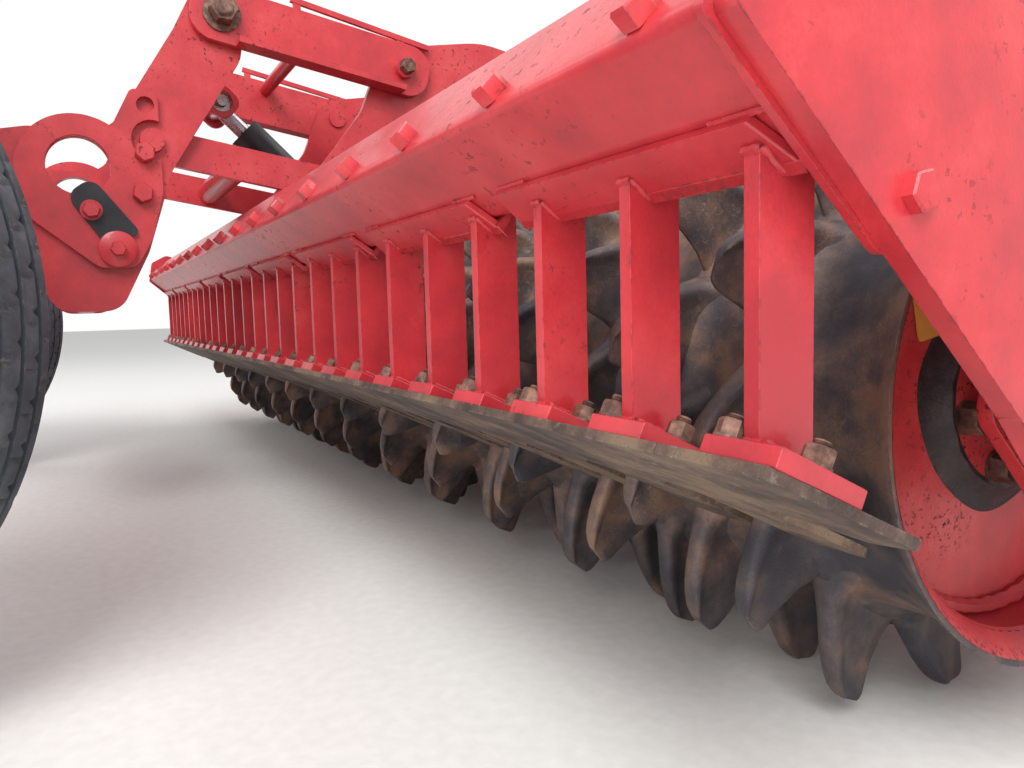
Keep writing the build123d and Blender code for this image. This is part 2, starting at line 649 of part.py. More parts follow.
carrier = rod_x(AXLE_TUBE_R, -CHEEK_X[0], CHEEK_X[0], *AXLE_TUBE)
carrier += rod_x(CYL_TUBE_R, -CHEEK_X[0], CHEEK_X[0], *CYL_TUBE)
for side in (1, -1):
    corners = (
        (CYL_L, -28, 0), (CYL_EYE - 30, -28, 22), (CYL_EYE - 30, 28, 22), (CYL_L, 28, 0),
    )
    rows = [(*on_cylinder(a, b), r) if r else on_cylinder(a, b) for a, b, r in corners]
    lug = plate(rows, side * CYL_LUG_X[0], side * CYL_LUG_X[1])
    eye = on_cylinder(CYL_EYE, 0)
    carrier += lug - rod_x(20, side * (CYL_LUG_X[0] - 4), side * (CYL_LUG_X[1] + 4), *eye)
beam_y, beam_z = BEAM_MID
spans = ((-BEAM_END, -CHEEK_X[1]), (-CHEEK_X[0], CHEEK_X[0]), (CHEEK_X[1], BEAM_END))
for x0, x1 in spans:
    carrier += box(
        x0, x1, beam_y - BEAM_SIDE / 2, beam_y + BEAM_SIDE / 2,
        beam_z - BEAM_SIDE / 2, beam_z + BEAM_SIDE / 2,
    )
save("carrier_tubes", carrier)

KING = (WHEEL_X + TRAIL * sin(turn), WHEEL_Y + TRAIL * cos(turn))
necks = []
for side, word in ((1, "right"), (-1, "left")):
    king_x = side * KING[0]
    riser_x = side * (BEAM_END - RISER_W / 2)
    riser_y = beam_y - 5
    beam_top = beam_z + BEAM_SIDE / 2
    neck = box(
        riser_x - RISER_W / 2, riser_x + RISER_W / 2, riser_y - 45, riser_y + 45,
        beam_top, HEAD_Z[1] - 15,
    )
    dx = king_x - riser_x
    dy = KING[1] - riser_y
    reach = sqrt(dx * dx + dy * dy)
    arm = Pos(reach / 2, 0, HEAD_Z[0] + 65) * Box(reach, 80, 90)
    way = Plane(origin=(riser_x, ROLLER_Y + riser_y, 0), x_dir=(dx, dy, 0), z_dir=(0, 0, 1))
    neck += way.location * arm
    neck += rod_z(HEAD_R, *HEAD_Z, king_x, KING[1])
    neck -= rod_z(KING_R + 0.05, HEAD_Z[0] - 5, HEAD_Z[1] + 5, king_x, KING[1])
    necks.append(neck)

    # Caster fork and wheel, drawn straight about the kingpin, then turned
    place = Pos(king_x, ROLLER_Y + KING[1], 0) * Rot(0, 0, -WHEEL_TURN)
    crown_z = HEAD_Z[0] - 45
    fork = Pos(0, -38, crown_z) * Box(2 * (FORK_IN + FORK_T), 165, 40)
    leg_face = Plane(origin=(0, 0, 0), x_dir=(0, 1, 0), z_dir=(1, 0, 0))
    leg = outline((
        (44.5, crown_z + 20), (-120.5, crown_z + 20), (-TRAIL - 38, WHEEL_R - 38, 34),
        (-TRAIL + 38, WHEEL_R - 38, 34),
    ))
    for s in (FORK_IN, -FORK_IN - FORK_T):
        fork += Pos(s, 0, 0) * extrude(leg_face * leg, amount=FORK_T, dir=(1, 0, 0))
    fork += Pos(0, 0, crown_z + 30) * Cylinder(50, 20)
    fork += Pos(0, 0, (crown_z + HEAD_Z[1] + 20) / 2) * Cylinder(KING_R, HEAD_Z[1] + 20 - crown_z)
    fork += Pos(0, 0, HEAD_Z[1] + 15) * Cylinder(44, 16)
    fork += Pos(0, -TRAIL, WHEEL_R) * Rot(0, 90, 0) * Cylinder(AXLE_R, 2 * (FORK_IN + FORK_T) + 20)
    save(f"caster_fork_{word}", place * fork)

    hub = place * Pos(0, -TRAIL, WHEEL_R) * Rot(0, 90, 0)
    seat = RIM_SEAT_R - 10
    rim = Cylinder(seat, WHEEL_W - 34) - Cylinder(seat - 9, WHEEL_W - 32)
    for s in (half - 15.5, -half + 15.5):
        rim += Pos(0, 0, s) * (Cylinder(RIM_SEAT_R + 6, 6) - Cylinder(seat - 9, 8))
    disc = Pos(0, 0, 20) * Cylinder(seat - 5, 12)
    disc -= [Rot(0, 0, 45 * k) * Pos(130, 0, 20) * Cylinder(16, 20) for k in range(8)]
    rim += disc
    rim += Cylinder(62, 150)
    rim -= Cylinder(AXLE_R + 0.05, 200)
    save(f"wheel_rim_{word}", hub * rim)

    mirrored = [(r, -across) for r, across in reversed(TYRE_SECTION)]
    tyre = revolve(Plane.XZ * outline([*TYRE_SECTION, *mirrored]), Axis.Z)
    save(f"tyre_{word}", hub * tyre)

save("swan_necks", Compound(children=necks))

# Lift cylinder between the tower's lower pin line and the carrier's upper tube
along = Plane(
    origin=(0, ROLLER_Y + CYL_FOOT[0], CYL_FOOT[1]), x_dir=(1, 0, 0), z_dir=(0, cyl_dy, cyl_dz),
).location
barrel = Pos(0, 0, 109) * Cylinder(CYL_R, 162) - Pos(0, 0, 111.5) * Cylinder(CYL_BORE_R, 137)
barrel -= Pos(0, 0, 185) * Cylinder(CYL_ROD_R + 0.05, 20)
barrel += Rot(0, 90, 0) * Cylinder(CYL_FOOT_PIN_R * 2, 60)
barrel -= Rot(0, 90, 0) * Cylinder(CYL_FOOT_PIN_R + PIN_GAP, 80)
save("cylinder_barrel", along * barrel)
rod = Pos(0, 0, (85 + CYL_EYE) / 2) * Cylinder(CYL_ROD_R, CYL_EYE - 85)
rod += Pos(0, 0, 91) * Cylinder(CYL_BORE_R - PIN_GAP, 12)
rod += Pos(0, 0, CYL_EYE) * Rot(0, 90, 0) * Cylinder(22, 2 * CYL_LUG_X[0] - 8)
rod += Pos(0, 0, CYL_EYE) * Rot(0, 90, 0) * Cylinder(10, 2 * CYL_LUG_X[1] + 8)
save("cylinder_rod", along * rod)
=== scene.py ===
"""Looks of the power harrow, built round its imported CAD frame.

Lengths are millimetres in the machine's own frame: x to the right, y forward from the packer
roller's axis and z up from the floor. Shell.build turns them into metres in the row frame.
"""

from __future__ import annotations

import json
import logging
import math
import random
from dataclasses import dataclass, field
from enum import Enum
from typing import Any, Iterable, Sequence

import bpy
import numpy as np
from mathutils import Matrix, Vector

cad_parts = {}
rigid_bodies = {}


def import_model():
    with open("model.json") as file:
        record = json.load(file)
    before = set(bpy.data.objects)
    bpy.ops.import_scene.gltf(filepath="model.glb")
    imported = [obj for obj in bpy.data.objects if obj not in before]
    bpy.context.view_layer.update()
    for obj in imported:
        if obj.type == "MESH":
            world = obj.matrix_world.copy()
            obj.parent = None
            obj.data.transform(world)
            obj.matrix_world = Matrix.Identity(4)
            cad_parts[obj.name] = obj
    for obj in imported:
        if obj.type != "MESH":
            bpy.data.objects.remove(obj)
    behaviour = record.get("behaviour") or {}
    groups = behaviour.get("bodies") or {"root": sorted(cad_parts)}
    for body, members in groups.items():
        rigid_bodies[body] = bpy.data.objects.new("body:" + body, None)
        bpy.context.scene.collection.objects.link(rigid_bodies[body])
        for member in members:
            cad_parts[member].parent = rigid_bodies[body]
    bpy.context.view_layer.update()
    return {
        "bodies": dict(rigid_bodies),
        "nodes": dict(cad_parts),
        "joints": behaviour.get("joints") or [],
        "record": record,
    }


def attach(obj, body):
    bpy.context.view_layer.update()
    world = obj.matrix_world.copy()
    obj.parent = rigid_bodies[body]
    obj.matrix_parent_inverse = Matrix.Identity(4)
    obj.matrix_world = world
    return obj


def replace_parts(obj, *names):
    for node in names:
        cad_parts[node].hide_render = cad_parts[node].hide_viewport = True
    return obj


LOG = logging.getLogger("harrow")
MM = 0.001
# The row frame's origin is the middle of the outline, and the roller's axis stands this far ahead
ROLLER_Y = 223.147
X_AXIS = (1.0, 0.0, 0.0)
SIDES = (1, -1)
NODE_BEVEL = 1.2
Point = Sequence[float]
Pair = tuple[float, float]
Triple = tuple[float, float, float]


def linear(code: str) -> tuple[float, float, float, float]:
    """Turn an sRGB hex value into linear colour.

    Args:
        code: Six hex digits after a hash sign.

    Returns:
        Linear red, green, blue and an alpha of one.
    """
    parts = [int(code[i : i + 2], 16) / 255 for i in (1, 3, 5)]
    lin = [c / 12.92 if c <= 0.04045 else ((c + 0.055) / 1.055) ** 2.4 for c in parts]
    return (lin[0], lin[1], lin[2], 1.0)


def add(
    tree: bpy.types.NodeTree, kind: str, feeds: dict[Any, Any] | None = None, **fields: Any
) -> bpy.types.ShaderNode:
    """Add one shader node with its settings and links.

    Args:
        tree: Node tree that gets the node.
        kind: Node type without its ShaderNode prefix.
        feeds: Socket name or index to a value or to the socket that feeds it.
        **fields: Settings of the node; stops fills a colour ramp with (place, hex or grey) pairs.

    Returns:
        The new node.
    """
    made = tree.nodes.new("ShaderNode" + kind)
    stops = fields.pop("stops", None)
    for name, value in fields.items():
        setattr(made, name, value)
    for n, (place, shade) in enumerate(stops or ()):
        ramp = made.color_ramp.elements
        spot = ramp[n] if n < 2 else ramp.new(place)
        spot.position = place
        spot.color = linear(shade) if isinstance(shade, str) else (shade, shade, shade, 1.0)
    for socket, value in (feeds or {}).items():
        if isinstance(value, bpy.types.NodeSocket):
            tree.links.new(value, made.inputs[socket])
        else:
            made.inputs[socket].default_value = value
    return made


# Share of the grain in a finish's colour, and how soft the rim of a chip is in its noise
GRAIN_SHARE = 0.35
CHIP_RIM = 0.03
# Noise between which an area begins to have chips, and between which a rubbed edge is ragged
CHIPPED_AREA = (0.47, 0.6)
RAGGED = (0.5, 0.62)
# How far the rounded normal faces away from the flat one where an edge is whole and where it is bare
RUBBED = (0.97, 0.8)


class Pattern(Enum):
    """How the colour of a finish is broken up."""

    CHIPPED = "chipped"
    RUSTED = "rusted"
    DUSTY = "dusty"


@dataclass(frozen=True)
class Finish:
    """One surface finish, from what the real one is.

    The grain sizes are real sizes in millimetres, turned into noise scales for metre coordinates.
    """

    name: str
    pattern: Pattern
    base: str
    shade: str
    light: str
    wear: str
    metallic: float = 0.0
    roughness: float = 0.5
    wear_metallic: float = 0.0
    wear_roughness: float = 0.7
    grain_mm: float = 3.0
    patch_mm: float = 60.0
    chip_mm: float = 9.0
    chips: float = 0.36
    edge_mm: float = 2.5
    edge_wear: float = 0.5
    bump: float = 0.15
    bump_mm: float = 1.2
    coat: float = 0.0
    coat_roughness: float = 0.12

    def material(self) -> bpy.types.Material:
        """Build the node material once and reuse it.

        Returns:
            The material of this finish.
        """
        found = bpy.data.materials.get(self.name)
        if found:
            return found
        made = bpy.data.materials.new(self.name)
        made.use_nodes = True
        tree = made.node_tree
        tree.nodes.clear()
        place = add(tree, "TexCoord").outputs["Object"]
        fine = self._noise(tree, place, self.grain_mm, 6.0)
        patch = self._noise(tree, place, self.patch_mm, 5.0)
        chip = self._noise(tree, place, self.chip_mm, 8.0)
        wide = self._noise(tree, place, self.patch_mm * 4.5, 3.0)
        colour = self._colour(tree, patch, wide, fine)
        worn = self._worn(tree, chip, wide)
        mixed = add(
            tree, "Mix", {0: worn, 6: colour, 7: self._wear_colour(tree, fine)}, data_type="RGBA"
        ).outputs[2]
        grainy = {0: fine, 1: 0.3, 2: 0.7, 3: self.roughness - 0.07, 4: self.roughness + 0.09}
        rough = add(tree, "MapRange", grainy).outputs[0]
        rough = add(tree, "Mix", {0: worn, 2: rough, 3: self.wear_roughness}).outputs[0]
        height = add(tree, "Math", {0: fine, 1: worn}, operation="SUBTRACT").outputs[0]
        relief = {"Strength": self.bump, "Distance": self.bump_mm * MM, "Height": height}
        bump = add(tree, "Bump", relief).outputs[0]
        shader = add(
            tree,
            "BsdfPrincipled",
            {"Base Color": mixed, "Roughness": rough, "Normal": bump, "Metallic": self.metallic},
        )
        if self.wear_metallic != self.metallic:
            metal = add(tree, "Mix", {0: worn, 2: self.metallic, 3: self.wear_metallic}).outputs[0]
            tree.links.new(metal, shader.inputs["Metallic"])
        if self.coat:
            shader.inputs["Coat Weight"].default_value = self.coat
            shader.inputs["Coat Roughness"].default_value = self.coat_roughness
        add(tree, "OutputMaterial", {"Surface": shader.outputs[0]})
        return made

    @staticmethod
    def _noise(tree: bpy.types.NodeTree, place: Any, size_mm: float, detail: float) -> Any:
        """Noise whose blobs are about size_mm across."""
        look = {"Vector": place, "Scale": 1.0 / (size_mm * MM), "Detail": detail, "Roughness": 0.62}
        return add(tree, "TexNoise", look).outputs[0]

    def _colour(self, tree: bpy.types.NodeTree, patch: Any, wide: Any, fine: Any) -> Any:
        """Base colour with soft patches of its darker and lighter shades.

        Args:
            tree: Node tree of the material.
            patch: Noise of the small patches.
            wide: Noise of the large patches.
            fine: Noise of the grain.

        Returns:
            Colour socket.
        """
        both = add(tree, "Math", {0: patch, 1: wide}, operation="ADD").outputs[0]
        full = add(tree, "Math", {0: fine, 1: GRAIN_SHARE}, operation="MULTIPLY").outputs[0]
        mixed = add(tree, "Math", {0: both, 1: full}, operation="ADD").outputs[0]
        spread = (0.98, 1.36) if self.pattern is Pattern.RUSTED else (0.9, 1.5)
        share = add(tree, "MapRange", {0: mixed, 1: spread[0], 2: spread[1], 3: 0.0, 4: 1.0}).outputs[0]
        stops = ((0.0, self.shade), (1.0, self.light), (0.5, self.base))
        return add(tree, "ValToRGB", {0: share}, stops=stops).outputs[0]

    def _wear_colour(self, tree: bpy.types.NodeTree, fine: Any) -> Any:
        """Colour of what shows where the finish is worn."""
        return add(tree, "ValToRGB", {0: fine}, stops=((0.35, self.wear), (0.75, self.shade))).outputs[0]

    def _worn(self, tree: bpy.types.NodeTree, chip: Any, wide: Any) -> Any:
        """Mask of chips and of rubbed edges.

        Args:
            tree: Node tree of the material.
            chip: Noise that the chips are cut from.
            wide: Noise of the areas that have chips.

        Returns:
            Socket from 0, whole, to 1, worn.
        """
        low = 1.0 - self.chips
        spots = add(tree, "MapRange", {0: chip, 1: low, 2: low + CHIP_RIM, 3: 0.0, 4: 1.0}).outputs[0]
        begin, full = CHIPPED_AREA
        area = add(tree, "MapRange", {0: wide, 1: begin, 2: full, 3: 0.0, 4: 1.0}).outputs[0]
        spots = add(tree, "Math", {0: spots, 1: area}, operation="MULTIPLY").outputs[0]
        round_edge = add(tree, "Bevel", {"Radius": self.edge_mm * MM}, samples=4).outputs[0]
        flat = add(tree, "NewGeometry").outputs["True Normal"]
        facing = add(tree, "VectorMath", {0: round_edge, 1: flat}, operation="DOT_PRODUCT").outputs["Value"]
        whole, bare = RUBBED
        edge = add(tree, "MapRange", {0: facing, 1: whole, 2: bare, 3: 0.0, 4: 1.0}).outputs[0]
        begin, full = RAGGED
        worn = {0: chip, 1: begin, 2: full, 3: 0.0, 4: self.edge_wear * 2}
        ragged = add(tree, "MapRange", worn).outputs[0]
        edge = add(tree, "Math", {0: edge, 1: ragged}, operation="MULTIPLY").outputs[0]
        return add(tree, "Math", {0: spots, 1: edge}, operation="ADD", use_clamp=True).outputs[0]


# Sprayed alkyd enamel over steel: a wet gloss that stone chips break down to brown rust
RED_ENAMEL = Finish(
    "red_enamel", Pattern.CHIPPED, "#C4333A", "#A92C35", "#D0484B", "#33201F",
    roughness=0.38, wear_roughness=0.8, coat=0.2, bump=0.12, chips=0.4, edge_wear=0.85,
)
# The same enamel inside the roller's end, scoured by soil, so its chips lie closer together
RED_SCOURED = Finish(
    "red_enamel_scoured", Pattern.CHIPPED, "#C93C41", "#AE363C", "#D6625F", "#3A2826",
    roughness=0.46, wear_roughness=0.85, coat=0.1, bump=0.2, chips=0.42, chip_mm=5.0,
)
# Cast and forged steel under a thin brown rust film, rubbed to a dull sheen by the soil
WORN_STEEL = Finish(
    "soil_worn_steel", Pattern.RUSTED, "#5C504E", "#3E3B42", "#86695A", "#9C8980",
    metallic=0.4, roughness=0.5, wear_metallic=0.8, wear_roughness=0.42,
    bump=0.5, chips=0.4, edge_wear=0.85, grain_mm=2.0, patch_mm=38.0, edge_mm=3.0,
)
# Hot-rolled scraper strip under brown rust and dried soil, rubbed paler along its edges
BLADE_STEEL = Finish(
    "scraper_strip", Pattern.RUSTED, "#5C4A41", "#3C302B", "#7C6754", "#978878",
    metallic=0.2, roughness=0.68, wear_metallic=0.6, wear_roughness=0.5,
    bump=0.5, chips=0.42, edge_wear=0.8, grain_mm=1.8, patch_mm=36.0,
)
# Plain fasteners, their plating gone to brown rust
BOLT_STEEL = Finish(
    "rusty_bolts", Pattern.RUSTED, "#6A4C41", "#44332F", "#8C6C5C", "#8A7A70",
    metallic=0.45, roughness=0.55, wear_metallic=0.9, wear_roughness=0.4,
    bump=0.3, grain_mm=1.4, patch_mm=9.0, chip_mm=4.0, edge_mm=1.0,
)
# Turned steel with a light film of oil
BRIGHT_STEEL = Finish(
    "turned_steel", Pattern.DUSTY, "#B9B9BC", "#9A9A9E", "#CFCFD2", "#8C8782",
    metallic=1.0, roughness=0.26, wear_metallic=1.0, wear_roughness=0.4,
    bump=0.04, chips=0.3, edge_wear=0.2,
)
# Black phosphate on the latch plate and the cylinder barrel
BLACK_PLATE = Finish(
    "black_phosphate", Pattern.DUSTY, "#2C2C31", "#1C1C20", "#43434A", "#5C4A42",
    metallic=0.3, roughness=0.45, wear_metallic=0.6, wear_roughness=0.6, bump=0.1, chips=0.35,
)
# Wheel enamel in pale grey with road dust
RIM_ENAMEL = Finish(
    "grey_rim_enamel", Pattern.CHIPPED, "#B9B8B2", "#9B9992", "#CBCAC4", "#5A4A40",
    roughness=0.42, bump=0.08, chips=0.36, coat=0.15,
)
# Vulcanised carbon-black rubber, dry and dusty to a blue grey
TYRE_RUBBER = Finish(
    "dusty_tyre_rubber", Pattern.DUSTY, "#4A5058", "#343940", "#6E747C", "#8A877E",
    roughness=0.78, wear_roughness=0.9, bump=0.25, chips=0.37, grain_mm=1.6,
    patch_mm=45.0, edge_wear=0.5, edge_mm=2.0,
)
# Bearing grease thickened with soil
GREASE = Finish(
    "soiled_grease", Pattern.DUSTY, "#2F2A2C", "#1E1B1D", "#4A4141", "#5A4C47",
    roughness=0.5, wear_roughness=0.7, bump=0.9, chips=0.33, grain_mm=4.0, patch_mm=14.0,
)
# Boron-steel tines scoured by the soil
TINE_STEEL = Finish(
    "scoured_tines", Pattern.RUSTED, "#5F5653", "#433B3A", "#857B76", "#A79F99",
    metallic=0.6, roughness=0.45, wear_metallic=0.9, wear_roughness=0.35,
    bump=0.3, edge_wear=0.8, patch_mm=50.0,
)
# Blank self-adhesive vinyl plate
YELLOW_VINYL = Finish(
    "yellow_vinyl", Pattern.DUSTY, "#EDB94A", "#DDA63C", "#F4C866", "#7A6034",
    roughness=0.4, bump=0.03, chips=0.3, edge_wear=0.3,
)


def aim(origin: Point, way: Point, spin: float = 0.0) -> Matrix:
    """Matrix that sets local Z along a direction.

    Args:
        origin: Place of the local origin.
        way: Direction of local Z.
        spin: Turn about it, in degrees.

    Returns:
        A placing matrix in millimetres.
    """
    turn = Vector(way).to_track_quat("Z", "Y").to_matrix().to_4x4()
    return Matrix.Translation(Vector(origin)) @ turn @ Matrix.Rotation(math.radians(spin), 4, "Z")


def rounded(rows: Sequence[Point], steps: int = 6) -> list[Pair]:
    """Outline with its corners rounded.

    Args:
        rows: Corners as (a, b) or (a, b, corner radius).
        steps: Segments of one round corner.

    Returns:
        Points of the closed outline.
    """
    made: list[Pair] = []
    for k, row in enumerate(rows):
        spot = Vector(row[:2])
        if len(row) < 3:
            made.append((spot.x, spot.y))
            continue
        before = (Vector(rows[k - 1][:2]) - spot).normalized()
        after = (Vector(rows[(k + 1) % len(rows)][:2]) - spot).normalized()
        half = before.angle(after) / 2
        centre = spot + (before + after).normalized() * (row[2] / math.sin(half))
        reach = row[2] / math.tan(half)
        first, last = spot + before * reach - centre, spot + after * reach - centre
        start = math.atan2(first.y, first.x)
        sweep = (math.atan2(last.y, last.x) - start + math.pi) % (2 * math.pi) - math.pi
        for n in range(steps + 1):
            a = start + sweep * n / steps
            made.append((centre.x + row[2] * math.cos(a), centre.y + row[2] * math.sin(a)))
    return made


def soften(made: bpy.types.Object, width: float) -> None:
    """Weld doubled points and bevel the sharp edges.

    Args:
        made: Object that gets the modifiers.
        width: Width of the bevel in millimetres.
    """
    weld = made.modifiers.new("weld", "WELD")
    weld.merge_threshold = 0.02 * MM
    edges = made.modifiers.new("edges", "BEVEL")
    edges.width = width * MM
    edges.segments = 2
    edges.limit_method = "ANGLE"
    edges.angle_limit = math.radians(40)
    edges.harden_normals = True


def side_place(x: float = 0.0) -> Matrix:
    """Local X and Y become the machine's y and z, local Z its x, from a plane at x."""
    return Matrix(((0, 0, 1, x), (1, 0, 0, 0), (0, 1, 0, 0), (0, 0, 0, 1)))


def span(side: int, near: float, far: float) -> list[float]:
    """Two places along x on one side, the lower one first."""
    return sorted((side * near, side * far))


def hoop(radius: float, height: float, steps: int) -> list[Triple]:
    """Points round local Z at a height."""
    turns = [2 * math.pi * k / steps for k in range(steps)]
    return [(radius * math.cos(a), radius * math.sin(a), height) for a in turns]


def circle(place: Matrix, radius: float, height: float, steps: int) -> list[Vector]:
    """Path round local Z that ends where it starts."""
    turns = [2 * math.pi * k / steps for k in range(steps + 1)]
    return [place @ Vector((radius * math.cos(a), radius * math.sin(a), height)) for a in turns]


# Parts of a bolt as shares of its size across the flats, and the pitch of its thread in millimetres
WASHER_THICK = 0.12
HEAD_TALL = 0.62
STUD_RADIUS = 0.33
THREAD_PITCH = 2.2


@dataclass
class Shell:
    """Vertices and faces of one piece, gathered in millimetres."""

    name: str
    body: str
    finish: Finish
    slot: str = "red_paint"
    points: list[Vector] = field(default_factory=list)
    faces: list[tuple[int, ...]] = field(default_factory=list)

    def take(self, points: Iterable[Point], faces: Iterable[Sequence[int]], place: Matrix) -> None:
        """Append points, moved by place, and the faces that use them.

        Args:
            points: Points in the place's own frame.
            faces: Faces as rows of indices into points.
            place: Placing matrix.
        """
        start = len(self.points)
        self.points.extend(place @ Vector(p) for p in points)
        self.faces.extend(tuple(i + start for i in f) for f in faces)

    def loft(
        self, rows: Sequence[Sequence[Point]], place: Matrix = Matrix(), caps: bool = True,
        closed: bool = False,
    ) -> None:
        """Skin rings of equal count.

        Args:
            rows: Closed rings of points, in order.
            place: Placing matrix.
            caps: Whether the first and last ring are filled.
            closed: Whether the last ring joins the first.
        """
        count = len(rows[0])
        points = [p for row in rows for p in row]
        faces: list[tuple[int, ...]] = []
        for r in range(len(rows) - (0 if closed else 1)):
            near, far = r * count, (r + 1) % len(rows) * count
            for k in range(count):
                n = (k + 1) % count
                faces.append((near + k, near + n, far + n, far + k))
        if caps and not closed:
            faces.append(tuple(reversed(range(count))))
            faces.append(tuple(range((len(rows) - 1) * count, len(rows) * count)))
        self.take(points, faces, place)

    def lathe(
        self, profile: Sequence[Pair], place: Matrix, steps: int = 32, closed: bool = False
    ) -> None:
        """Turn a profile about local Z.

        Args:
            profile: Rows of (along, radius).
            place: Placing matrix.
            steps: Segments round.
            closed: Whether the last row joins the first, as in a ring.
        """
        rows = [hoop(radius, along, steps) for along, radius in profile]
        self.loft(rows, place, caps=not closed, closed=closed)

    def sheet(
        self, loops: Sequence[Sequence[Pair]], low: float, high: float, place: Matrix
    ) -> None:
        """Flat plate with holes, from low to high along local Z.

        Args:
            loops: Outline and then the holes, as closed rows of points.
            low: Near face.
            high: Far face.
            place: Placing matrix.
        """
        curve = bpy.data.curves.new("sheet", "CURVE")
        curve.dimensions = "2D"
        curve.fill_mode = "BOTH"
        curve.extrude = (high - low) / 2
        for loop in loops:
            line = curve.splines.new("POLY")
            line.points.add(len(loop) - 1)
            for spot, (a, b) in zip(line.points, loop):
                spot.co = (a, b, 0.0, 1.0)
            line.use_cyclic_u = True
        holder = bpy.data.objects.new("sheet", curve)
        flat = holder.to_mesh()
        lift = Matrix.Translation((0, 0, (low + high) / 2))
        spots = [v.co.copy() for v in flat.vertices]
        self.take(spots, [tuple(f.vertices) for f in flat.polygons], place @ lift)
        holder.to_mesh_clear()
        bpy.data.objects.remove(holder)
        bpy.data.curves.remove(curve)

    def bolt(
        self, place: Matrix, across: float, washer: float = 0.0, stud: float = 0.0, tall: float = 0.0
    ) -> None:
        """Hex head seated at local z = 0, with a washer and a threaded end where given.

        Args:
            place: Placing matrix, local Z outward.
            across: Size across the flats.
            washer: Washer's radius, 0 for none.
            stud: Length of thread past the hexagon.
            tall: Height of the hexagon, 0 for a common one.
        """
        base = 0.0
        if washer:
            base = across * WASHER_THICK
            self.lathe([(0, washer), (base, washer)], place, 20)
        radius = across / math.sqrt(3)
        tall = tall or across * HEAD_TALL
        sides = [(math.cos(k * math.pi / 3), math.sin(k * math.pi / 3)) for k in range(6)]
        rows = [
            [(radius * f * a, radius * f * b, base + z) for a, b in sides]
            for z, f in ((0, 1.0), (tall * 0.86, 1.0), (tall, 0.88))
        ]
        self.loft(rows, place)
        if stud:
            r = across * STUD_RADIUS
            top = base + tall
            turns = max(3, int(stud / THREAD_PITCH))
            rows = [(top - 1, r * 0.9)]
            for k in range(turns):
                step = stud / turns
                rows.append((top + k * step, r))
                rows.append((top + (k + 0.5) * step, r * 0.86))
            rows.append((top + stud, r * 0.8))
            self.lathe(rows, place, 14)

    def bead(self, path: Sequence[Point], radius: float, seed: int = 0) -> None:
        """Weld bead with its ripples.

        Args:
            path: Points that the bead runs through.
            radius: Radius of the bead.
            seed: Seed of its unevenness.
        """
        rng = random.Random(seed)
        line: list[Vector] = []
        for a, b in zip(path, path[1:]):
            length = (Vector(b) - Vector(a)).length
            count = max(2, int(length / (radius * 1.1)))
            line += [Vector(a).lerp(Vector(b), k / count) for k in range(count)]
        line.append(Vector(path[-1]))
        ripples = [(0.12 if k % 2 else -0.1) for k in range(len(line))]
        self.tube(line, [radius * (1.0 + r + rng.uniform(-0.06, 0.06)) for r in ripples], 7)

    def tube(self, path: Sequence[Point], sizes: Sequence[float], steps: int = 12) -> None:
        """Round bar, whose radius may change along it.

        Args:
            path: Points that the bar runs through.
            sizes: Its radius at each of them.
            steps: Segments round.
        """
        line = [Vector(p) for p in path]
        rows = []
        for k, (spot, size) in enumerate(zip(line, sizes)):
            way = (line[min(k + 1, len(line) - 1)] - line[max(k - 1, 0)]).normalized()
            frame = way.to_track_quat("Z", "Y").to_matrix()
            rows.append([spot + frame @ Vector(p) for p in hoop(size, 0.0, steps)])
        self.loft(rows)

    def build(self, smooth_deg: float = 35.0, soft: float = 0.0) -> bpy.types.Object:
        """Make the object, dress it and let it ride on its body.

        Args:
            smooth_deg: Edges sharper than this stay sharp.
            soft: Width of a bevel on its sharp edges.

        Returns:
            The new object.
        """
        mesh = bpy.data.meshes.new(self.name)
        moved = [(p.x * MM, (p.y + ROLLER_Y) * MM, p.z * MM) for p in self.points]
        mesh.from_pydata(moved, [], self.faces)
        mesh.validate()
        mesh.shade_smooth()
        mesh.set_sharp_from_angle(angle=math.radians(smooth_deg))
        made = bpy.data.objects.new(self.name, mesh)
        bpy.context.scene.collection.objects.link(made)
        made.data.materials.append(self.finish.material())
        if soft:
            soften(made, soft)
        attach(made, self.body)
        LOG.info("%s: %d faces on %s", self.name, len(self.faces), self.body)
        return made


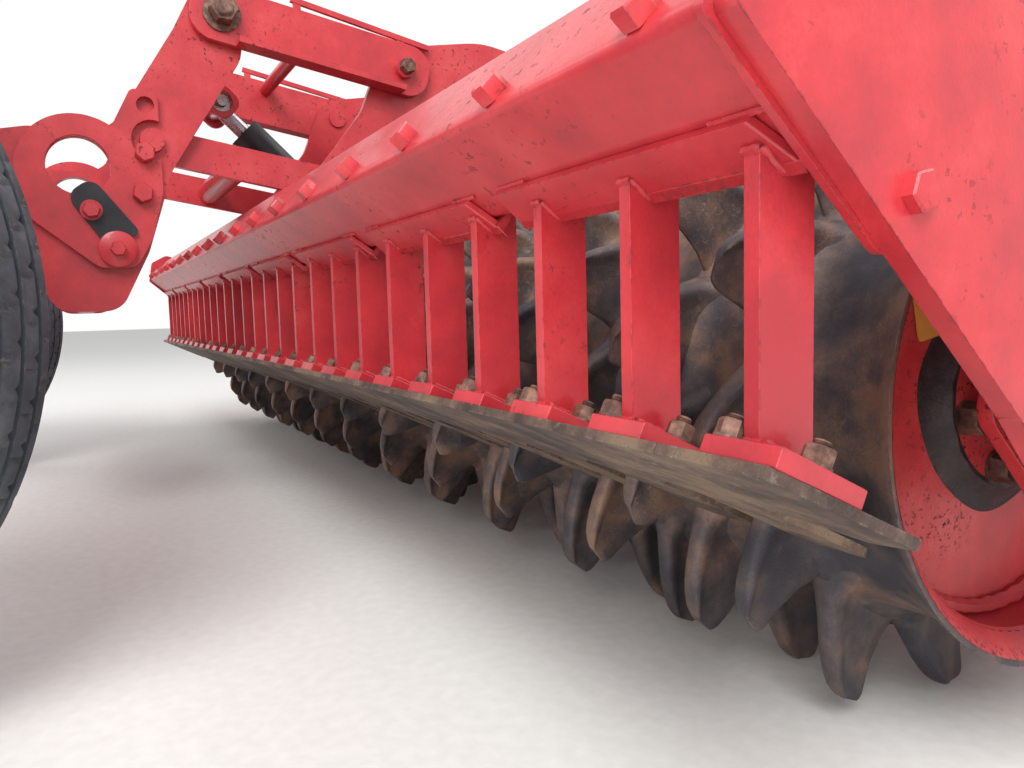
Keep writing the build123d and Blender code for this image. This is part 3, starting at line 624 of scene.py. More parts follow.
@dataclass
class PackerRoller:
    """Toothed drum with its end discs."""

    axis_z: float = 300.0
    half: float = 1405.0
    drum_r: float = 205.0
    band_r: float = 219.0
    tip_r: float = 300.0
    inner_r: float = 197.0
    disc_x: float = 1343.0
    pitch: float = 112.0
    rings: int = 24
    teeth: int = 12
    phases: Pair = (3.5, 17.0)
    steps: int = 96
    skin_steps: int = 112
    # (distance from the drum's end, height over the drum)
    flare: tuple[Pair, ...] = (
        (0, 17.0), (3, 16.6), (10, 13.5), (20, 8.5), (32, 4.0), (46, 1.0), (60, 0.0),
    )
    # (distance from a ring's middle, height over the drum)
    band: tuple[Pair, ...] = ((40, 0.0), (28, 1.5), (18, 5.0), (11, 10.0), (6, 14.0))
    # (share of a tooth's height, degrees from its middle)
    left_edge: tuple[Pair, ...] = (
        (-0.24, -25.0), (0.0, -18.0), (0.15, -15.0), (0.35, -11.6), (0.62, -7.4), (0.85, -3.4),
        (0.95, -1.2), (1.0, 0.8),
    )
    right_edge: tuple[Pair, ...] = (
        (-0.24, 15.0), (0.0, 10.6), (0.2, 8.8), (0.5, 7.6), (0.85, 6.8), (0.95, 6.4), (1.0, 5.6),
    )
    # (share of a tooth's height, thickness)
    thick: tuple[Pair, ...] = (
        (-0.24, 84.0), (-0.12, 50.0), (0.0, 33.0), (0.12, 26.0), (0.3, 23.0), (0.6, 20.0),
        (0.85, 18.0), (0.95, 16.0), (1.0, 9.0),
    )
    # (share of a tooth's width, share of its thickness): a round rib, then a flat flank
    chord: tuple[Pair, ...] = (
        (0.0, 0.0), (0.02, 0.55), (0.07, 0.9), (0.14, 1.0), (0.21, 0.9), (0.28, 0.68),
        (0.38, 0.52), (0.62, 0.45), (0.86, 0.38), (0.96, 0.3), (1.0, 0.12),
    )
    heights: tuple[float, ...] = (
        -0.24, -0.16, -0.08, 0.0, 0.1, 0.22, 0.38, 0.55, 0.7, 0.82, 0.91, 0.97, 1.0,
    )
    hook: float = 5.0
    # (radius, height over the disc) of the soiled grease that the hub has flung out
    grease: tuple[Pair, ...] = (
        (76, 0.1), (76.5, 15.0), (81, 15.4), (88, 8.0), (94, 4.0), (99, 1.6), (103, 0.1),
    )
    # radii between which the grease's edge begins to wander and wanders in full
    wander: Pair = (74.0, 103.0)
    # welds on a disc, as (radius of the path, height over the disc, steps, radius of the bead, seed)
    weld_rings: tuple[tuple[float, float, int, float, int], ...] = (
        (190.0, 3.0, 60, 7.5, 3), (80.5, 1.5, 40, 4.5, 4),
    )
    hub_bolts: int = 6
    hub_face: float = 14.0
    bolt_circle: float = 64.0
    bolt_start: float = 13.0
    # lower rear corner of the sticker, its size, and cosine and sine of its tilt
    sticker_at: Pair = (-108.0, 350.0)
    sticker_size: Pair = (64.0, 60.0)
    sticker_tilt: Pair = (0.985, 0.174)
    # how high its loose corner stands, and how far in it begins to lift
    loose_corner: Pair = (2.2, 26.0)

    def build(self) -> None:
        """Build the drum skin, the teeth and what is on the end discs."""
        skin = Shell("packer_drum_skin", "packer_roller", WORN_STEEL, "worn_steel")
        along = aim((0, 0, self.axis_z), X_AXIS)
        skin.lathe(self._skin_profile(), along, self.skin_steps, closed=True)
        drum = skin.build(50.0)
        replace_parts(drum, "packer_drum")
        self._teeth()
        self._ends()

    def _skin_profile(self) -> list[Pair]:
        """Outer skin from one rim to the other and back inside.

        Returns:
            Closed profile of (along, radius).
        """
        rows = [(-self.half + a, self.drum_r + h) for a, h in self.flare]
        for n in range(self.rings):
            x = (n - (self.rings - 1) / 2) * self.pitch
            rows += [(x - off, self.drum_r + h) for off, h in self.band]
            rows += [(x + off, self.drum_r + h) for off, h in reversed(self.band)]
        rows += [(self.half - a, self.drum_r + h) for a, h in reversed(self.flare)]
        bore = self.inner_r + 1.5
        inside = ((self.half, 218.5), (self.half - 8, 209.0), (self.half - 20, bore), (self.disc_x - 6, bore))
        rows += inside
        rows += [(-x, r) for x, r in reversed(inside)]
        return rows

    def _teeth(self) -> None:
        """Hooked teeth with a rounded nose, a thin trailing edge and a flared root."""
        rng = random.Random(11)
        shell = Shell("packer_teeth", "packer_roller", WORN_STEEL, "worn_steel")
        outline = self.chord + tuple((c, -t) for c, t in reversed(self.chord[1:]))
        for n in range(self.rings):
            x = ((self.rings - 1) / 2 - n) * self.pitch
            phase = self.phases[n % 2]
            for k in range(self.teeth):
                mid = phase + k * 360 / self.teeth
                worn = rng.uniform(0.0, 0.06)
                lean = rng.uniform(-2.5, 2.5)
                twist = rng.uniform(-1.0, 1.0)
                rows = []
                for h in self.heights:
                    radius = self.band_r + h * (self.tip_r - self.band_r) * (1 - worn * max(h, 0))
                    low = self._at(self.left_edge, h)
                    high = self._at(self.right_edge, h)
                    wide = self._at(self.thick, h) / 2
                    ring = []
                    bend = self.hook * math.sin(math.pi * max(h, 0.0)) * (1 if n % 2 else -1)
                    for c, t in outline:
                        a = math.radians(mid + low + (high - low) * c)
                        wavy = 1 + 0.05 * math.sin(7 * h + 5 * c + n + k)
                        tilt = lean * max(h, 0) ** 2 + twist * (c - 0.5) * max(h, 0) + bend * (c - 0.3)
                        across = x + t * wide * wavy + tilt
                        ring.append((across, -radius * math.cos(a), self.axis_z - radius * math.sin(a)))
                    rows.append(ring)
                shell.loft(rows)
        shell.build(60.0)

    @staticmethod
    def _at(table: Sequence[Pair], where: float) -> float:
        """Value of a table of (place, value) rows at a place."""
        return float(np.interp(where, [row[0] for row in table], [row[1] for row in table]))

    def _ends(self) -> None:
        """Red lining, weld ring, grease and bolts inside each end."""
        lining = Shell("drum_end_linings", "packer_roller", RED_SCOURED)
        welds = Shell("drum_end_welds", "packer_roller", RED_SCOURED)
        grease = Shell("drum_end_grease", "packer_roller", GREASE, "dark_steel")
        bolts = Shell("drum_hub_bolts", "packer_roller", BOLT_STEEL, "bright_steel")
        deep = self.half - self.disc_x
        outside, inside = self.inner_r + 1.0, self.inner_r - 0.6
        # (height over the disc, radius), out along the inside and back behind it
        cone = [
            (-4, outside), (deep - 22, outside), (deep - 9, 207.4), (deep - 1, 216.8),
            (deep - 2, 215.4), (deep - 10, 205.8), (deep - 23, inside), (-4, inside),
        ]
        for side in SIDES:
            face = aim((side * self.disc_x, 0, self.axis_z), (side, 0, 0))
            lining.lathe(cone, face, self.steps, closed=True)
            for radius, height, steps, size, seed in self.weld_rings:
                welds.bead(circle(face, radius, height, steps), size, seed)
            grease.loft(self._grease_rows(), face, caps=False, closed=True)
            for k in range(self.hub_bolts):
                a = math.radians(360 * k / self.hub_bolts + self.bolt_start)
                y, z = -self.bolt_circle * math.cos(a), self.axis_z - self.bolt_circle * math.sin(a)
                place = aim((side * (self.disc_x + self.hub_face), y, z), (side, 0, 0), 20)
                bolts.bolt(place, 24, washer=15, stud=5)
        for shell in (lining, welds, grease, bolts):
            shell.build()
        self._sticker()

    def _grease_rows(self) -> list[list[Triple]]:
        """Rings of the grease, whose outer edge wanders.

        Returns:
            Rings of points over the disc.
        """
        rng = random.Random(5)
        waves = [(n, rng.uniform(0, 6.3), rng.uniform(0.4, 1.9)) for n in (2, 3, 5, 7)]
        turns = [2 * math.pi * k / self.steps for k in range(self.steps)]
        reach = [sum(s * math.sin(n * a + p) for n, p, s in waves) for a in turns]
        still, full = self.wander
        rows = []
        for n, (r, h) in enumerate(self.grease):
            share = (r - still) / (full - still)
            lumpy = 0.7 if 1 < n < len(self.grease) - 1 else 0.0
            rows.append([
                ((r + reach[k] * share) * math.cos(a), (r + reach[k] * share) * math.sin(a),
                 h + lumpy * math.sin(k * 1.1 + r))
                for k, a in enumerate(turns)
            ])
        return rows

    def _sticker(self) -> None:
        """Blank yellow plate stuck on the right end disc, one corner lifting."""
        vinyl = Shell("blank_end_sticker", "packer_roller", YELLOW_VINYL)
        (wide, high), (c, s) = self.sticker_size, self.sticker_tilt
        rise, reach = self.loose_corner
        rows = []
        for height in (0.2, 0.9):
            ring = []
            for a, b in rounded(((0, 0, 4), (wide, 0, 4), (wide, high, 4), (0, high, 4)), 4):
                y = self.sticker_at[0] + c * a - s * b
                z = self.sticker_at[1] + s * a + c * b
                lift = rise * max(0.0, 1 - (a + b) / reach)
                ring.append((self.disc_x + height + lift, y, z))
            rows.append(ring)
        vinyl.loft(rows)
        vinyl.build()


@dataclass
class ScraperRow:
    """Beam on edge, the angles that cup it, and the posts with their feet."""

    count: int = 27
    per_angle: int = 3
    pitch: float = 112.0
    post_y: float = -400.0
    post_deep: float = 40.0
    post_thick: float = 12.0
    foot_z: float = 310.0
    slope: float = 26.0
    beam_low: Pair = (-384.0, 463.0)
    beam_side: float = 94.0
    beam_turn: float = 40.5
    beam_half: float = 1478.0
    beam_corner: float = 9.0
    leg: float = 37.0
    gauge: float = 7.0
    slant: float = 15.0
    angle_left: float = 49.0
    angle_right: float = 22.0
    # outline of a foot and places of its bolts, from the post's rear edge
    foot: tuple[Pair, ...] = ((-25, -12), (33, -12), (33, 58), (-25, 58))
    foot_thick: float = 12.0
    studs: tuple[Pair, ...] = ((21.5, 26.0), (-16.0, -1.5))
    bolts: int = 18
    bolt_pitch: float = 168.0
    first_bolt: float = 1425.0
    bolt_in: float = 15.0
    # radii of the weld beads beside a foot, behind it, at a post's top and at an angle's ends
    foot_weld: float = 3.4
    heel_weld: float = 2.8
    post_weld: float = 3.0
    angle_weld: float = 2.2

    def on_beam(self, back: float, front: float) -> Pair:
        """Point from the beam's lower corner, along its rear face and along its front face."""
        c, s = math.cos(math.radians(self.beam_turn)), math.sin(math.radians(self.beam_turn))
        return (self.beam_low[0] - back * c + front * s, self.beam_low[1] + back * s + front * c)

    def build(self) -> None:
        """Build the beam, the holders with their posts, and the small parts."""
        self._beam()
        self._holders()
        self._small_parts()

    def _beam(self) -> None:
        """Square tube turned on edge, with its rounded corners and its row of bolts."""
        far = self.beam_side
        rows = [(*self.on_beam(p, q), self.beam_corner) for p, q in ((0, 0), (far, 0), (far, far), (0, far))]
        beam = Shell("scraper_beam_tube", "roller_frame", RED_ENAMEL)
        beam.sheet([rounded(rows)], -self.beam_half, self.beam_half, side_place())
        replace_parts(beam.build(), "scraper_beam")
        heads = Shell("scraper_beam_bolts", "roller_frame", RED_ENAMEL)
        y, z = self.on_beam(far, self.bolt_in)
        turn = math.radians(self.beam_turn)
        for n in range(self.bolts):
            x = self.first_bolt - n * self.bolt_pitch
            heads.bolt(aim((x, y, z), (0, -math.cos(turn), math.sin(turn)), 17 * n), 22)
        heads.build()

    def _holders(self) -> None:
        """Angles under the beam, each with three posts notched into it and their feet."""
        gauge, leg, gap = self.gauge, self.leg - self.gauge, 0.4
        corners = ((-gauge, -gauge), (-gap, -gauge), (-gap, leg), (-gauge, leg))
        front_leg = [self.on_beam(p, q) for p, q in corners]
        seat_y, seat_z = self.on_beam(-gauge, -gauge)
        turn, slope = math.radians(self.beam_turn), math.tan(math.radians(self.slope))
        front = self.post_y + self.post_deep
        lie = Matrix.Translation((0, *self.beam_low)) @ Matrix((
            (1, 0, 0, 0), (0, -math.cos(turn), -math.sin(turn), 0),
            (0, math.sin(turn), -math.cos(turn), 0), (0, 0, 0, 1),
        ))
        post = [
            (self.post_y, seat_z + (seat_y - self.post_y) * math.tan(turn)), (self.post_y, self.foot_z),
            (front, self.foot_z - slope * self.post_deep),
            (front, seat_z + (front - seat_y) / math.tan(turn)), (seat_y, seat_z),
        ]
        made = Shell("scraper_holders_and_posts", "roller_frame", RED_ENAMEL)
        nodes = []
        for first in range(0, self.count, self.per_angle):
            spots = [self.post_x(n) for n in range(first, first + self.per_angle)]
            left, right = max(spots[-1] - self.angle_left, -self.beam_half), spots[0] + self.angle_right
            made.sheet([front_leg], left, right, side_place())
            rear_leg = ((left, -gauge), (right, -gauge), (right - self.slant, leg), (left, leg))
            made.sheet([rear_leg], gap, gauge, lie)
            for x in spots:
                made.sheet([post], x - self.post_thick / 2, x + self.post_thick / 2, side_place())
                made.sheet([self.foot], -self.foot_thick, 0.0, self.foot_place(x))
            nodes.append(f"scraper_holder_{first // self.per_angle + 1}")
        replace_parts(made.build(soft=1.3), *nodes)

    def post_x(self, n: int) -> float:
        """Middle of post n, counted from the right."""
        return ((self.count - 1) / 2 - n) * self.pitch

    def foot_place(self, x: float) -> Matrix:
        """Place of a post's foot: local Z stands on its sloping top."""
        turn = Matrix.Rotation(math.radians(-self.slope), 4, "X")
        return Matrix.Translation((x, self.post_y, self.foot_z)) @ turn

    def _small_parts(self) -> None:
        """Foot bolts and the welds round every post."""
        studs = Shell("scraper_foot_studs", "roller_frame", BOLT_STEEL, "bright_steel")
        welds = Shell("scraper_post_welds", "roller_frame", RED_ENAMEL)
        rng = random.Random(7)
        turn, run = math.radians(self.beam_turn), 45.0
        seat_y, seat_z = self.on_beam(-self.gauge, -self.gauge)
        for n in range(self.count):
            x = self.post_x(n)
            foot = self.foot_place(x)
            for dx, dy in self.studs:
                spin = Matrix.Rotation(rng.uniform(0, 1), 4, "Z")
                studs.bolt(foot @ Matrix.Translation((dx, dy, 0)) @ spin, 16, 9.5, rng.uniform(3, 7))
            rear = (self.post_y + 0.5, seat_z + (seat_y - self.post_y) * math.tan(turn) - 0.5)
            fore = (self.post_y + self.post_deep - 1, seat_z + (self.post_deep - 17.0) / math.tan(turn))
            for side in SIDES:
                base = [foot @ Vector((side * 7.0, y, 2.0)) for y in (1.0, 20.0, 43.0)]
                welds.bead(base, self.foot_weld, n)
                flank = x + side * 6.4
                top = [(flank, *rear), (flank, seat_y, seat_z + 0.6), (flank, *fore)]
                welds.bead(top, self.post_weld, n + 40)
            back = [(x + dx, rear[0], rear[1] - 1) for dx in (-7.0, 7.0)]
            welds.bead(back, self.post_weld, n + 80)
            heel = [foot @ Vector((dx, 0.2, 2.0)) for dx in (-6.5, 6.5)]
            welds.bead(heel, self.heel_weld, n + 120)
        for first in range(0, self.count, self.per_angle):
            left = self.post_x(first + self.per_angle - 1) - self.angle_left + 1
            right = self.post_x(first) + self.angle_right - 1
            spot = self.on_beam(self.leg - self.gauge + 0.5, -0.6)
            far = max(left, -self.beam_half)
            welds.bead([(far, *spot), (left + run, *spot)], self.angle_weld, first)
            welds.bead([(right - run, *spot), (right, *spot)], self.angle_weld, first + 9)
        studs.build()
        welds.build(50.0)


@dataclass
class SideArms:
    """End plates of the beam, bearing units and bolts on both arms."""

    inner: float = 1484.0
    thick: float = 15.0
    plate: float = 5.8
    # corners of an end plate as (y, z, corner radius)
    end_rows: tuple[Triple, ...] = (
        (-458, 519, 6), (-446, 585, 14), (-396, 612, 24), (-330, 590, 30), (-296, 520, 30),
        (-300, 420, 16), (-334, 408, 16),
    )
    axis_z: float = 300.0
    bearing_x: float = 1404.0
    flange_circle: float = 82.0
    arm_circle: float = 80.0
    # the heads outside are low, so that they stay within the machine's width
    low_head: float = 7.9
    beam_bolt: Pair = (-328.0, 441.0)
    pivot: Pair = (640.0, 560.0)
    # (along, radius) of the pivot pin's cap and of a grease nipple
    cap: tuple[Pair, ...] = (
        (0, 29), (0.9, 29), (1.2, 28), (1.2, 20), (1.7, 19), (1.7, 7), (0.6, 6.5),
    )
    cap_off: float = 6.1
    nipple: tuple[Pair, ...] = ((0, 5), (6, 5), (6.5, 3), (12, 2.6), (13, 3.4), (16, 2.0))
    nipple_at: Pair = (-37.0, 222.0)
    # (along, radius) of the grease that is pressed out round the stub
    seal: tuple[Pair, ...] = ((0, 44), (5, 47), (8, 43), (9, 37), (0, 36))
    tacks: tuple[Pair, ...] = ((-449, 526), (-384, 466), (-326, 534), (-394, 592))

    def build(self) -> None:
        """Build what both side arms carry."""
        bolts = Shell("arm_bolts", "roller_frame", BOLT_STEEL, "bright_steel")
        paint = Shell("arm_painted_bolts", "roller_frame", RED_ENAMEL)
        ends = Shell("beam_end_plates", "roller_frame", RED_ENAMEL)
        welds = Shell("arm_welds", "roller_frame", RED_ENAMEL)
        dirt = Shell("bearing_grease", "roller_frame", GREASE, "dark_steel")
        for side in SIDES:
            way, outer = (side, 0, 0), side * (self.inner + self.thick)
            low, high = span(side, self.inner - self.plate, self.inner - 0.1)
            ends.sheet([rounded(self.end_rows)], low, high, side_place())
            for k in range(4):
                a, b = math.radians(45 + 90 * k), math.radians(90 * k)
                spot = (outer, self.arm_circle * math.cos(a), self.axis_z + self.arm_circle * math.sin(a))
                bolts.bolt(aim(spot, way, 11 * k), 24, tall=self.low_head)
                y, z = self.flange_circle * math.cos(b), self.axis_z + self.flange_circle * math.sin(b)
                bolts.bolt(aim((side * self.bearing_x, y, z), way, 7 * k), 24, 16, 6)
            paint.bolt(aim((outer, *self.beam_bolt), way, 12), 21, tall=self.low_head)
            bolts.lathe(self.cap, aim((outer + side * self.cap_off, *self.pivot), way), 32)
            bolts.lathe(self.nipple, aim((side * self.bearing_x, *self.nipple_at), way), 12)
            dirt.lathe(self.seal, aim((side * self.bearing_x, 0, self.axis_z), way), 32, closed=True)
            x = side * (self.inner - self.plate - 0.4)
            for y, z in self.tacks:
                welds.bead([(x, y, z), (x, y * 0.98 - 6, z + 2)], 2.6, 21)
        bolts.build()
        paint.build()
        ends.build(soft=0.9)
        welds.build()
        dirt.build()


@dataclass
class CasterWheels:
    """Road tyres with their tread, and what is bolted on the rims."""

    wheel_x: float = 784.0
    wheel_y: float = -1121.0
    trail: float = 60.0
    turn: float = 26.0
    radius: float = 400.0
    blocks: int = 60
    # (across, radius) of the tread with its grooves, and of the sidewall down to the bead
    crown: tuple[Pair, ...] = (
        (0, 400), (13, 399.8), (14.5, 392), (19.5, 392), (21, 399.4), (34, 398.6), (46, 397.6),
        (47.5, 389.5), (52.5, 389), (54, 396.6), (62, 395.8), (70, 394.2), (78, 390.4), (85, 386.9),
        (91, 381),
    )
    wall: tuple[Pair, ...] = (
        (97, 368), (102, 350), (101.5, 346), (104.8, 330), (105, 300), (104, 270), (99, 245),
        (98.4, 241), (95, 228), (90, 219), (84, 213), (82.5, 206),
    )
    bore: tuple[Pair, ...] = ((82, 196), (-82, 196))
    # (from, to, depth) of the sipes, across the tread
    sipes: tuple[Triple, ...] = (
        (-1, 13.5, 3.0), (23, 47, 4.0), (54.5, 92, 4.5), (92, 98, 1.6),
    )
    # how far round a sipe runs by its distance from the middle, and by that distance squared
    slant: Pair = (0.09, 0.0009)
    studs: int = 6
    stud_circle: float = 88.0
    # the wheel disc's inner and outer face along the axle, and where its valve stands
    disc_faces: Pair = (14.0, 26.0)
    valve_r: float = 176.0
    valve: tuple[Pair, ...] = ((0, 5), (14, 4.2), (15, 3.6), (30, 3.6), (31, 4.6), (38, 4.6))

    def build(self) -> None:
        """Build both tyres and their small parts."""
        t = math.radians(self.turn)
        king = (self.wheel_x + self.trail * math.sin(t), self.wheel_y + self.trail * math.cos(t))
        for side, word in ((1, "right"), (-1, "left")):
            place = Matrix.Translation((side * king[0], king[1], 0)) @ Matrix.Rotation(-t, 4, "Z")
            hub = place @ Matrix.Translation((0, -self.trail, self.radius))
            hub = hub @ Matrix.Rotation(math.pi / 2, 4, "Y")
            self._tyre(hub, word)
            self._rim(hub, word)

    def _tyre(self, hub: Matrix, word: str) -> None:
        """Ribbed tread with slanted sipes, shoulder blocks and a moulded sidewall.

        Args:
            hub: Place of the wheel's middle, local Z along its axle.
            word: Side, as in the names of the bodies.
        """
        shell = Shell(f"tyre_tread_{word}", f"wheel_{word}", TYRE_RUBBER, "tyre_rubber")
        profile = [(-a, r) for a, r in reversed(self.crown[1:] + self.wall)]
        profile += [*self.crown, *self.wall, *self.bore]
        first, second = self.slant
        per_block = 8
        steps = self.blocks * per_block
        rows = []
        for k in range(steps):
            a = 2 * math.pi * k / steps
            ring = []
            for across, radius in profile:
                slant = across * first + second * across * abs(across)
                if (k + slant) % per_block < 1.0:
                    radius -= sum(deep for low, high, deep in self.sipes if low < abs(across) < high)
                ring.append((radius * math.cos(a), radius * math.sin(a), across))
            rows.append(ring)
        shell.loft(rows, hub, caps=False, closed=True)
        made = shell.build(28.0)
        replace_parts(made, f"tyre_{word}")

    def _rim(self, hub: Matrix, word: str) -> None:
        """Wheel nuts, the bolts' heads behind them, and the valve.

        Args:
            hub: Place of the wheel's middle, local Z along its axle.
            word: Side, as in the names of the bodies.
        """
        nuts = Shell(f"wheel_nuts_{word}", f"wheel_{word}", BOLT_STEEL, "bright_steel")
        turned = Matrix.Rotation(math.pi, 4, "X")
        back, face = self.disc_faces
        for k in range(self.studs):
            a = 2 * math.pi * k / self.studs
            y, z = self.stud_circle * math.cos(a), self.stud_circle * math.sin(a)
            nuts.bolt(hub @ Matrix.Translation((y, z, face)), 24, washer=15, stud=7)
            nuts.bolt(hub @ Matrix.Translation((y, z, back)) @ turned, 24, washer=15)
        nuts.lathe(self.valve, hub @ Matrix.Translation((0, self.valve_r, face)), 12)
        nuts.build()


@dataclass
class RearLinkage:
    """Bolts, washers, latch plates and bars of the rear linkage."""

    link_x: float = 244.0
    lever_x: float = 240.0
    knee: Pair = (-451.0, 911.0)
    tower_pin: Pair = (-117.0, 854.0)
    # (along, radius) of a pin's washer and of a lever's boss
    washer: tuple[Pair, ...] = ((0, 32), (5, 32), (6, 30))
    hub: tuple[Pair, ...] = ((0, 30), (10, 30), (12, 26))
    split_pin: float = 2.4
    bar_x: Pair = (233.0, 241.0)
    foot_x: Pair = (234.0, 240.0)
    bar: tuple[Pair, ...] = ((-330, 950), (-62, 895), (-60, 905), (-328, 960))
    bar_feet: tuple[Pair, ...] = ((-318, 930), (-120, 892))
    lever_bolts: tuple[Pair, ...] = ((-589, 665), (-596, 597))
    boss: Pair = (-640.0, 503.0)
    latch_bolt: Pair = (-676.0, 566.0)
    # corners of the latch plate as (y, z, corner radius)
    latch: tuple[Triple, ...] = (
        (-712, 590, 20), (-672, 620, 20), (-604, 532, 8), (-650, 500, 8),
    )

    def build(self) -> None:
        """Build the small parts of the linkage."""
        self._upper_links()
        self._levers()

    def _upper_links(self) -> None:
        """Pins' washers and nuts, and the thin bars over the upper links."""
        bolts = Shell("link_pin_nuts", "upper_link_pair", BOLT_STEEL, "bright_steel")
        bars = Shell("upper_link_bars", "upper_link_pair", RED_ENAMEL)
        for side in SIDES:
            pin = aim((side * self.link_x, *self.knee), (side, 0, 0))
            bolts.lathe(self.washer, pin, 32)
            bolts.bolt(pin @ Matrix.Translation((0, 0, 6)), 42, stud=6)
            bolts.tube([pin @ Vector((a, 0, 26)) for a in (-26, 0, 26)], [self.split_pin] * 3)
            bolts.bolt(aim((side * (self.link_x + 14), *self.tower_pin), (side, 0, 0), 15), 26)
            bars.sheet([self.bar], *span(side, *self.bar_x), side_place())
            for y, z in self.bar_feet:
                foot = [(y - 7, z - 20), (y + 7, z - 22), (y + 7, z + 20), (y - 7, z + 22)]
                bars.sheet([foot], *span(side, *self.foot_x), side_place())
        bolts.build()
        bars.build(soft=0.8)

    def _levers(self) -> None:
        """Painted bolts, bosses and the black latch plates of the levers."""
        lever = Shell("lever_bolts", "wheel_carrier", RED_ENAMEL)
        latch = Shell("latch_plates", "wheel_carrier", BLACK_PLATE, "dark_steel")
        for side in SIDES:
            way, face = (side, 0, 0), side * self.lever_x
            for spot in self.lever_bolts:
                lever.bolt(aim((face, *spot), way, 20), 30)
            lever.lathe(self.hub, aim((face, *self.boss), way), 28)
            lever.bolt(aim((face + side * 12, *self.boss), way, 5), 22)
            latch.sheet([rounded(self.latch)], *span(side, self.lever_x, self.lever_x + 8), side_place())
            lever.bolt(aim((face + side * 8, *self.latch_bolt), way, 8), 24, washer=17)
        lever.build()
        latch.build()


@dataclass
class FrontEnd:
    """Bolts of the trough and of the tines."""

    rotors: int = 10
    pitch: float = 290.0
    rotor_y: float = 580.0
    trough_rows: Pair = (412.0, 748.0)
    trough_bolts: int = 25
    bolt_pitch: float = 118.0
    flange: Pair = (600.0, 622.0)
    # a tine's bolts: off the rotor's axis, along the carrier, and their height
    tine_x: float = 132.0
    tine_y: float = 24.0
    tine_z: float = 344.0

    def build(self) -> None:
        """Build the fasteners at the front."""
        bolts = Shell("trough_bolts", "harrow", BOLT_STEEL, "bright_steel")
        low, high = self.flange
        for n in range(self.trough_bolts):
            x = (n - self.trough_bolts // 2) * self.bolt_pitch
            for y in self.trough_rows:
                bolts.bolt(aim((x, y, high), (0, 0, 1), 9 * n), 17, washer=11)
                bolts.bolt(aim((x, y, low), (0, 0, -1), 5 * n), 17, stud=6)
        bolts.build()
        for k in range(self.rotors):
            x = (k - (self.rotors - 1) / 2) * self.pitch
            tine = Shell(f"tine_bolts_{k + 1}", f"tine_rotor_{k + 1}", BOLT_STEEL, "bright_steel")
            place = Matrix.Translation((x, self.rotor_y, 0)) @ Matrix.Rotation(math.pi / 4, 4, "Z")
            for side in SIDES:
                for y in (-self.tine_y, self.tine_y):
                    spot = place @ Matrix.Translation((side * self.tine_x, y, self.tine_z))
                    tine.bolt(spot @ Matrix.Rotation(side * math.pi / 2, 4, "Y"), 20)
            tine.build()


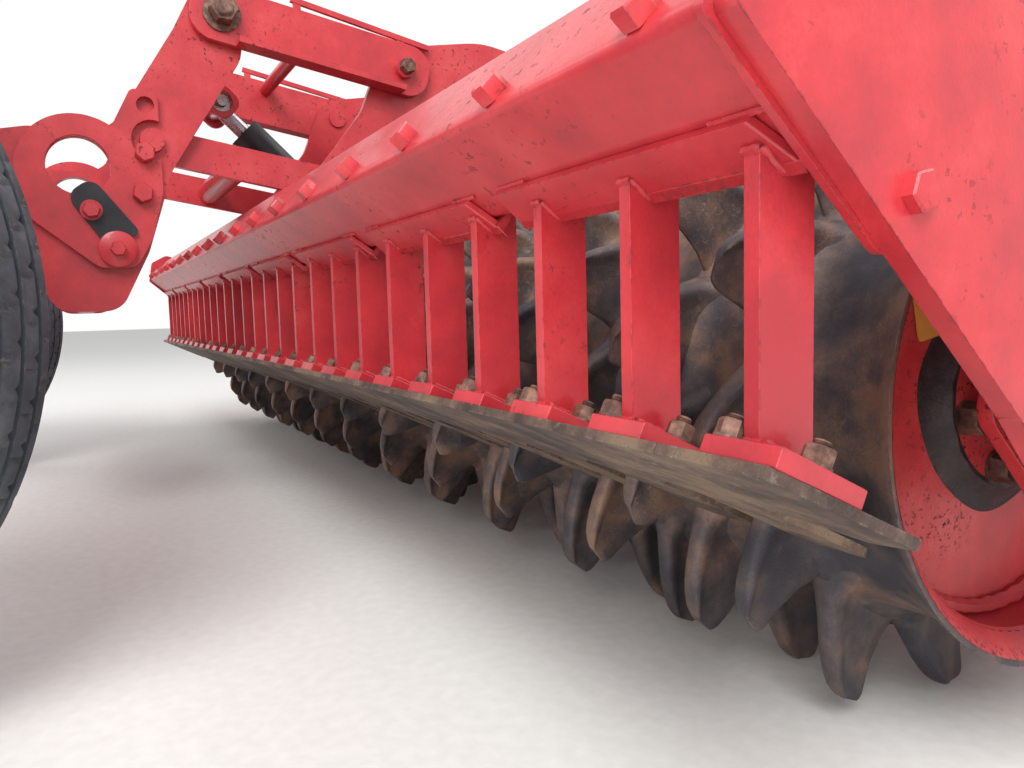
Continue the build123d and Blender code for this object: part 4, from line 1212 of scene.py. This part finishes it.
@dataclass
class Studio:
    """Pale floor, soft light and the camera at the photograph's angle."""

    eye: Triple = (1779.97, -717.66, 386.73)
    right: Triple = (0.47267, 0.88084, -0.02648)
    down: Triple = (0.06842, -0.06663, -0.99543)
    ahead: Triple = (-0.87858, 0.46870, -0.09176)
    lens: float = 28.83
    # (name, place in metres, width in metres, power in watts)
    lamps: tuple[tuple[str, Triple, float, float], ...] = (
        ("key", (4.6, -2.6, 4.4), 3.2, 350.0),
        ("low", (3.4, -3.8, 0.8), 2.4, 64.0),
        ("fill", (-3.5, -4.0, 3.4), 4.0, 70.0),
        ("front", (0.6, 4.6, 4.2), 4.0, 150.0),
    )
    target: Triple = (0.0, 0.0, 0.4)
    # half the floor's side and its height, just under the tyres, both in metres
    floor_half: float = 30.0
    floor_z: float = -0.0006
    # strength of the world's soft fill on the object
    soft_fill: float = 0.66

    def build(self) -> None:
        """Set the camera, the lamps, the world and the floor."""
        scene = bpy.context.scene
        scene.view_settings.view_transform = "Standard"
        self._camera(scene)
        self._world(scene)
        self._lamps(scene)
        self._floor(scene)

    def _camera(self, scene: bpy.types.Scene) -> None:
        """Camera at the photograph's place and angle.

        Args:
            scene: Scene that gets it.
        """
        data = bpy.data.cameras.new("camera")
        data.lens = self.lens
        data.sensor_width = 36.0
        data.clip_start = 0.02
        camera = bpy.data.objects.new("camera", data)
        scene.collection.objects.link(camera)
        scene.camera = camera
        x, up, back = Vector(self.right), -Vector(self.down), -Vector(self.ahead)
        turn = Matrix((x, up, back)).transposed().to_4x4()
        eye = Vector((self.eye[0], self.eye[1] + ROLLER_Y, self.eye[2])) * MM
        camera.matrix_world = Matrix.Translation(eye) @ turn

    def _world(self, scene: bpy.types.Scene) -> None:
        """White background for the camera and soft fill for the object.

        Args:
            scene: Scene that gets the world.
        """
        world = bpy.data.worlds.new("studio")
        scene.world = world
        world.use_nodes = True
        tree = world.node_tree
        tree.nodes.clear()
        path = add(tree, "LightPath").outputs
        rays = {0: path["Is Camera Ray"], 1: path["Is Glossy Ray"]}
        seen = add(tree, "Math", rays, operation="MAXIMUM").outputs[0]
        soft = add(tree, "Background", {"Color": linear("#F4F6FA"), "Strength": self.soft_fill}).outputs[0]
        white = add(tree, "Background", {"Color": linear("#FFFFFF"), "Strength": 1.0}).outputs[0]
        both = add(tree, "MixShader", {0: seen, 1: soft, 2: white}).outputs[0]
        add(tree, "OutputWorld", {"Surface": both})

    def _lamps(self, scene: bpy.types.Scene) -> None:
        """A large soft key from behind on the right, and weak fills.

        Args:
            scene: Scene that gets the lamps.
        """
        for name, spot, size, power in self.lamps:
            data = bpy.data.lights.new(name, "AREA")
            data.size = size
            data.energy = power
            lamp = bpy.data.objects.new(name, data)
            scene.collection.objects.link(lamp)
            lamp.location = spot
            way = Vector(self.target) - Vector(spot)
            lamp.rotation_euler = way.to_track_quat("-Z", "Y").to_euler()

    def _floor(self, scene: bpy.types.Scene) -> None:
        """Plain pale floor.

        Args:
            scene: Scene that gets the floor.
        """
        mesh = bpy.data.meshes.new("floor")
        s, z = self.floor_half, self.floor_z
        mesh.from_pydata([(-s, -s, z), (s, -s, z), (s, s, z), (-s, s, z)], [], [(0, 1, 2, 3)])
        floor = bpy.data.objects.new("floor", mesh)
        scene.collection.objects.link(floor)
        made = bpy.data.materials.new("pale_floor")
        made.use_nodes = True
        tree = made.node_tree
        tree.nodes.clear()
        place = add(tree, "TexCoord").outputs["Object"]
        grain = add(tree, "TexNoise", {"Vector": place, "Scale": 60.0, "Detail": 4.0}).outputs[0]
        stops = ((0.3, "#E9E7E2"), (0.7, "#F1EFEB"))
        shade = add(tree, "ValToRGB", {0: grain}, stops=stops).outputs[0]
        shader = add(tree, "BsdfPrincipled", {"Base Color": shade, "Roughness": 0.9})
        add(tree, "OutputMaterial", {"Surface": shader.outputs[0]})
        mesh.materials.append(made)


def dress_frame(nodes: dict[str, bpy.types.Object]) -> None:
    """Give every CAD node its finish and soft edges.

    Args:
        nodes: CAD nodes by name.
    """
    finishes = {
        "scraper_blades": BLADE_STEEL, "cylinder_rod": BRIGHT_STEEL, "pto_shaft": BRIGHT_STEEL,
        "cylinder_barrel": BLACK_PLATE, "drum_ends": RED_SCOURED, "wheel_rim_right": RIM_ENAMEL,
        "wheel_rim_left": RIM_ENAMEL,
    }
    for name, node in nodes.items():
        finish = finishes.get(name, TINE_STEEL if name.startswith("rotor") else RED_ENAMEL)
        node.data.materials.clear()
        node.data.materials.append(finish.material())
        soften(node, NODE_BEVEL)


def main() -> None:
    """Build the looks round the frame, piece by piece."""
    logging.basicConfig(level=logging.INFO, format="%(message)s")
    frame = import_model()
    dress_frame(frame["nodes"])
    Studio().build()
    parts = (PackerRoller(), ScraperRow(), SideArms(), CasterWheels(), RearLinkage(), FrontEnd())
    for part in parts:
        part.build()
        LOG.info("%s done", type(part).__name__)


if __name__ == "__main__":
    main()
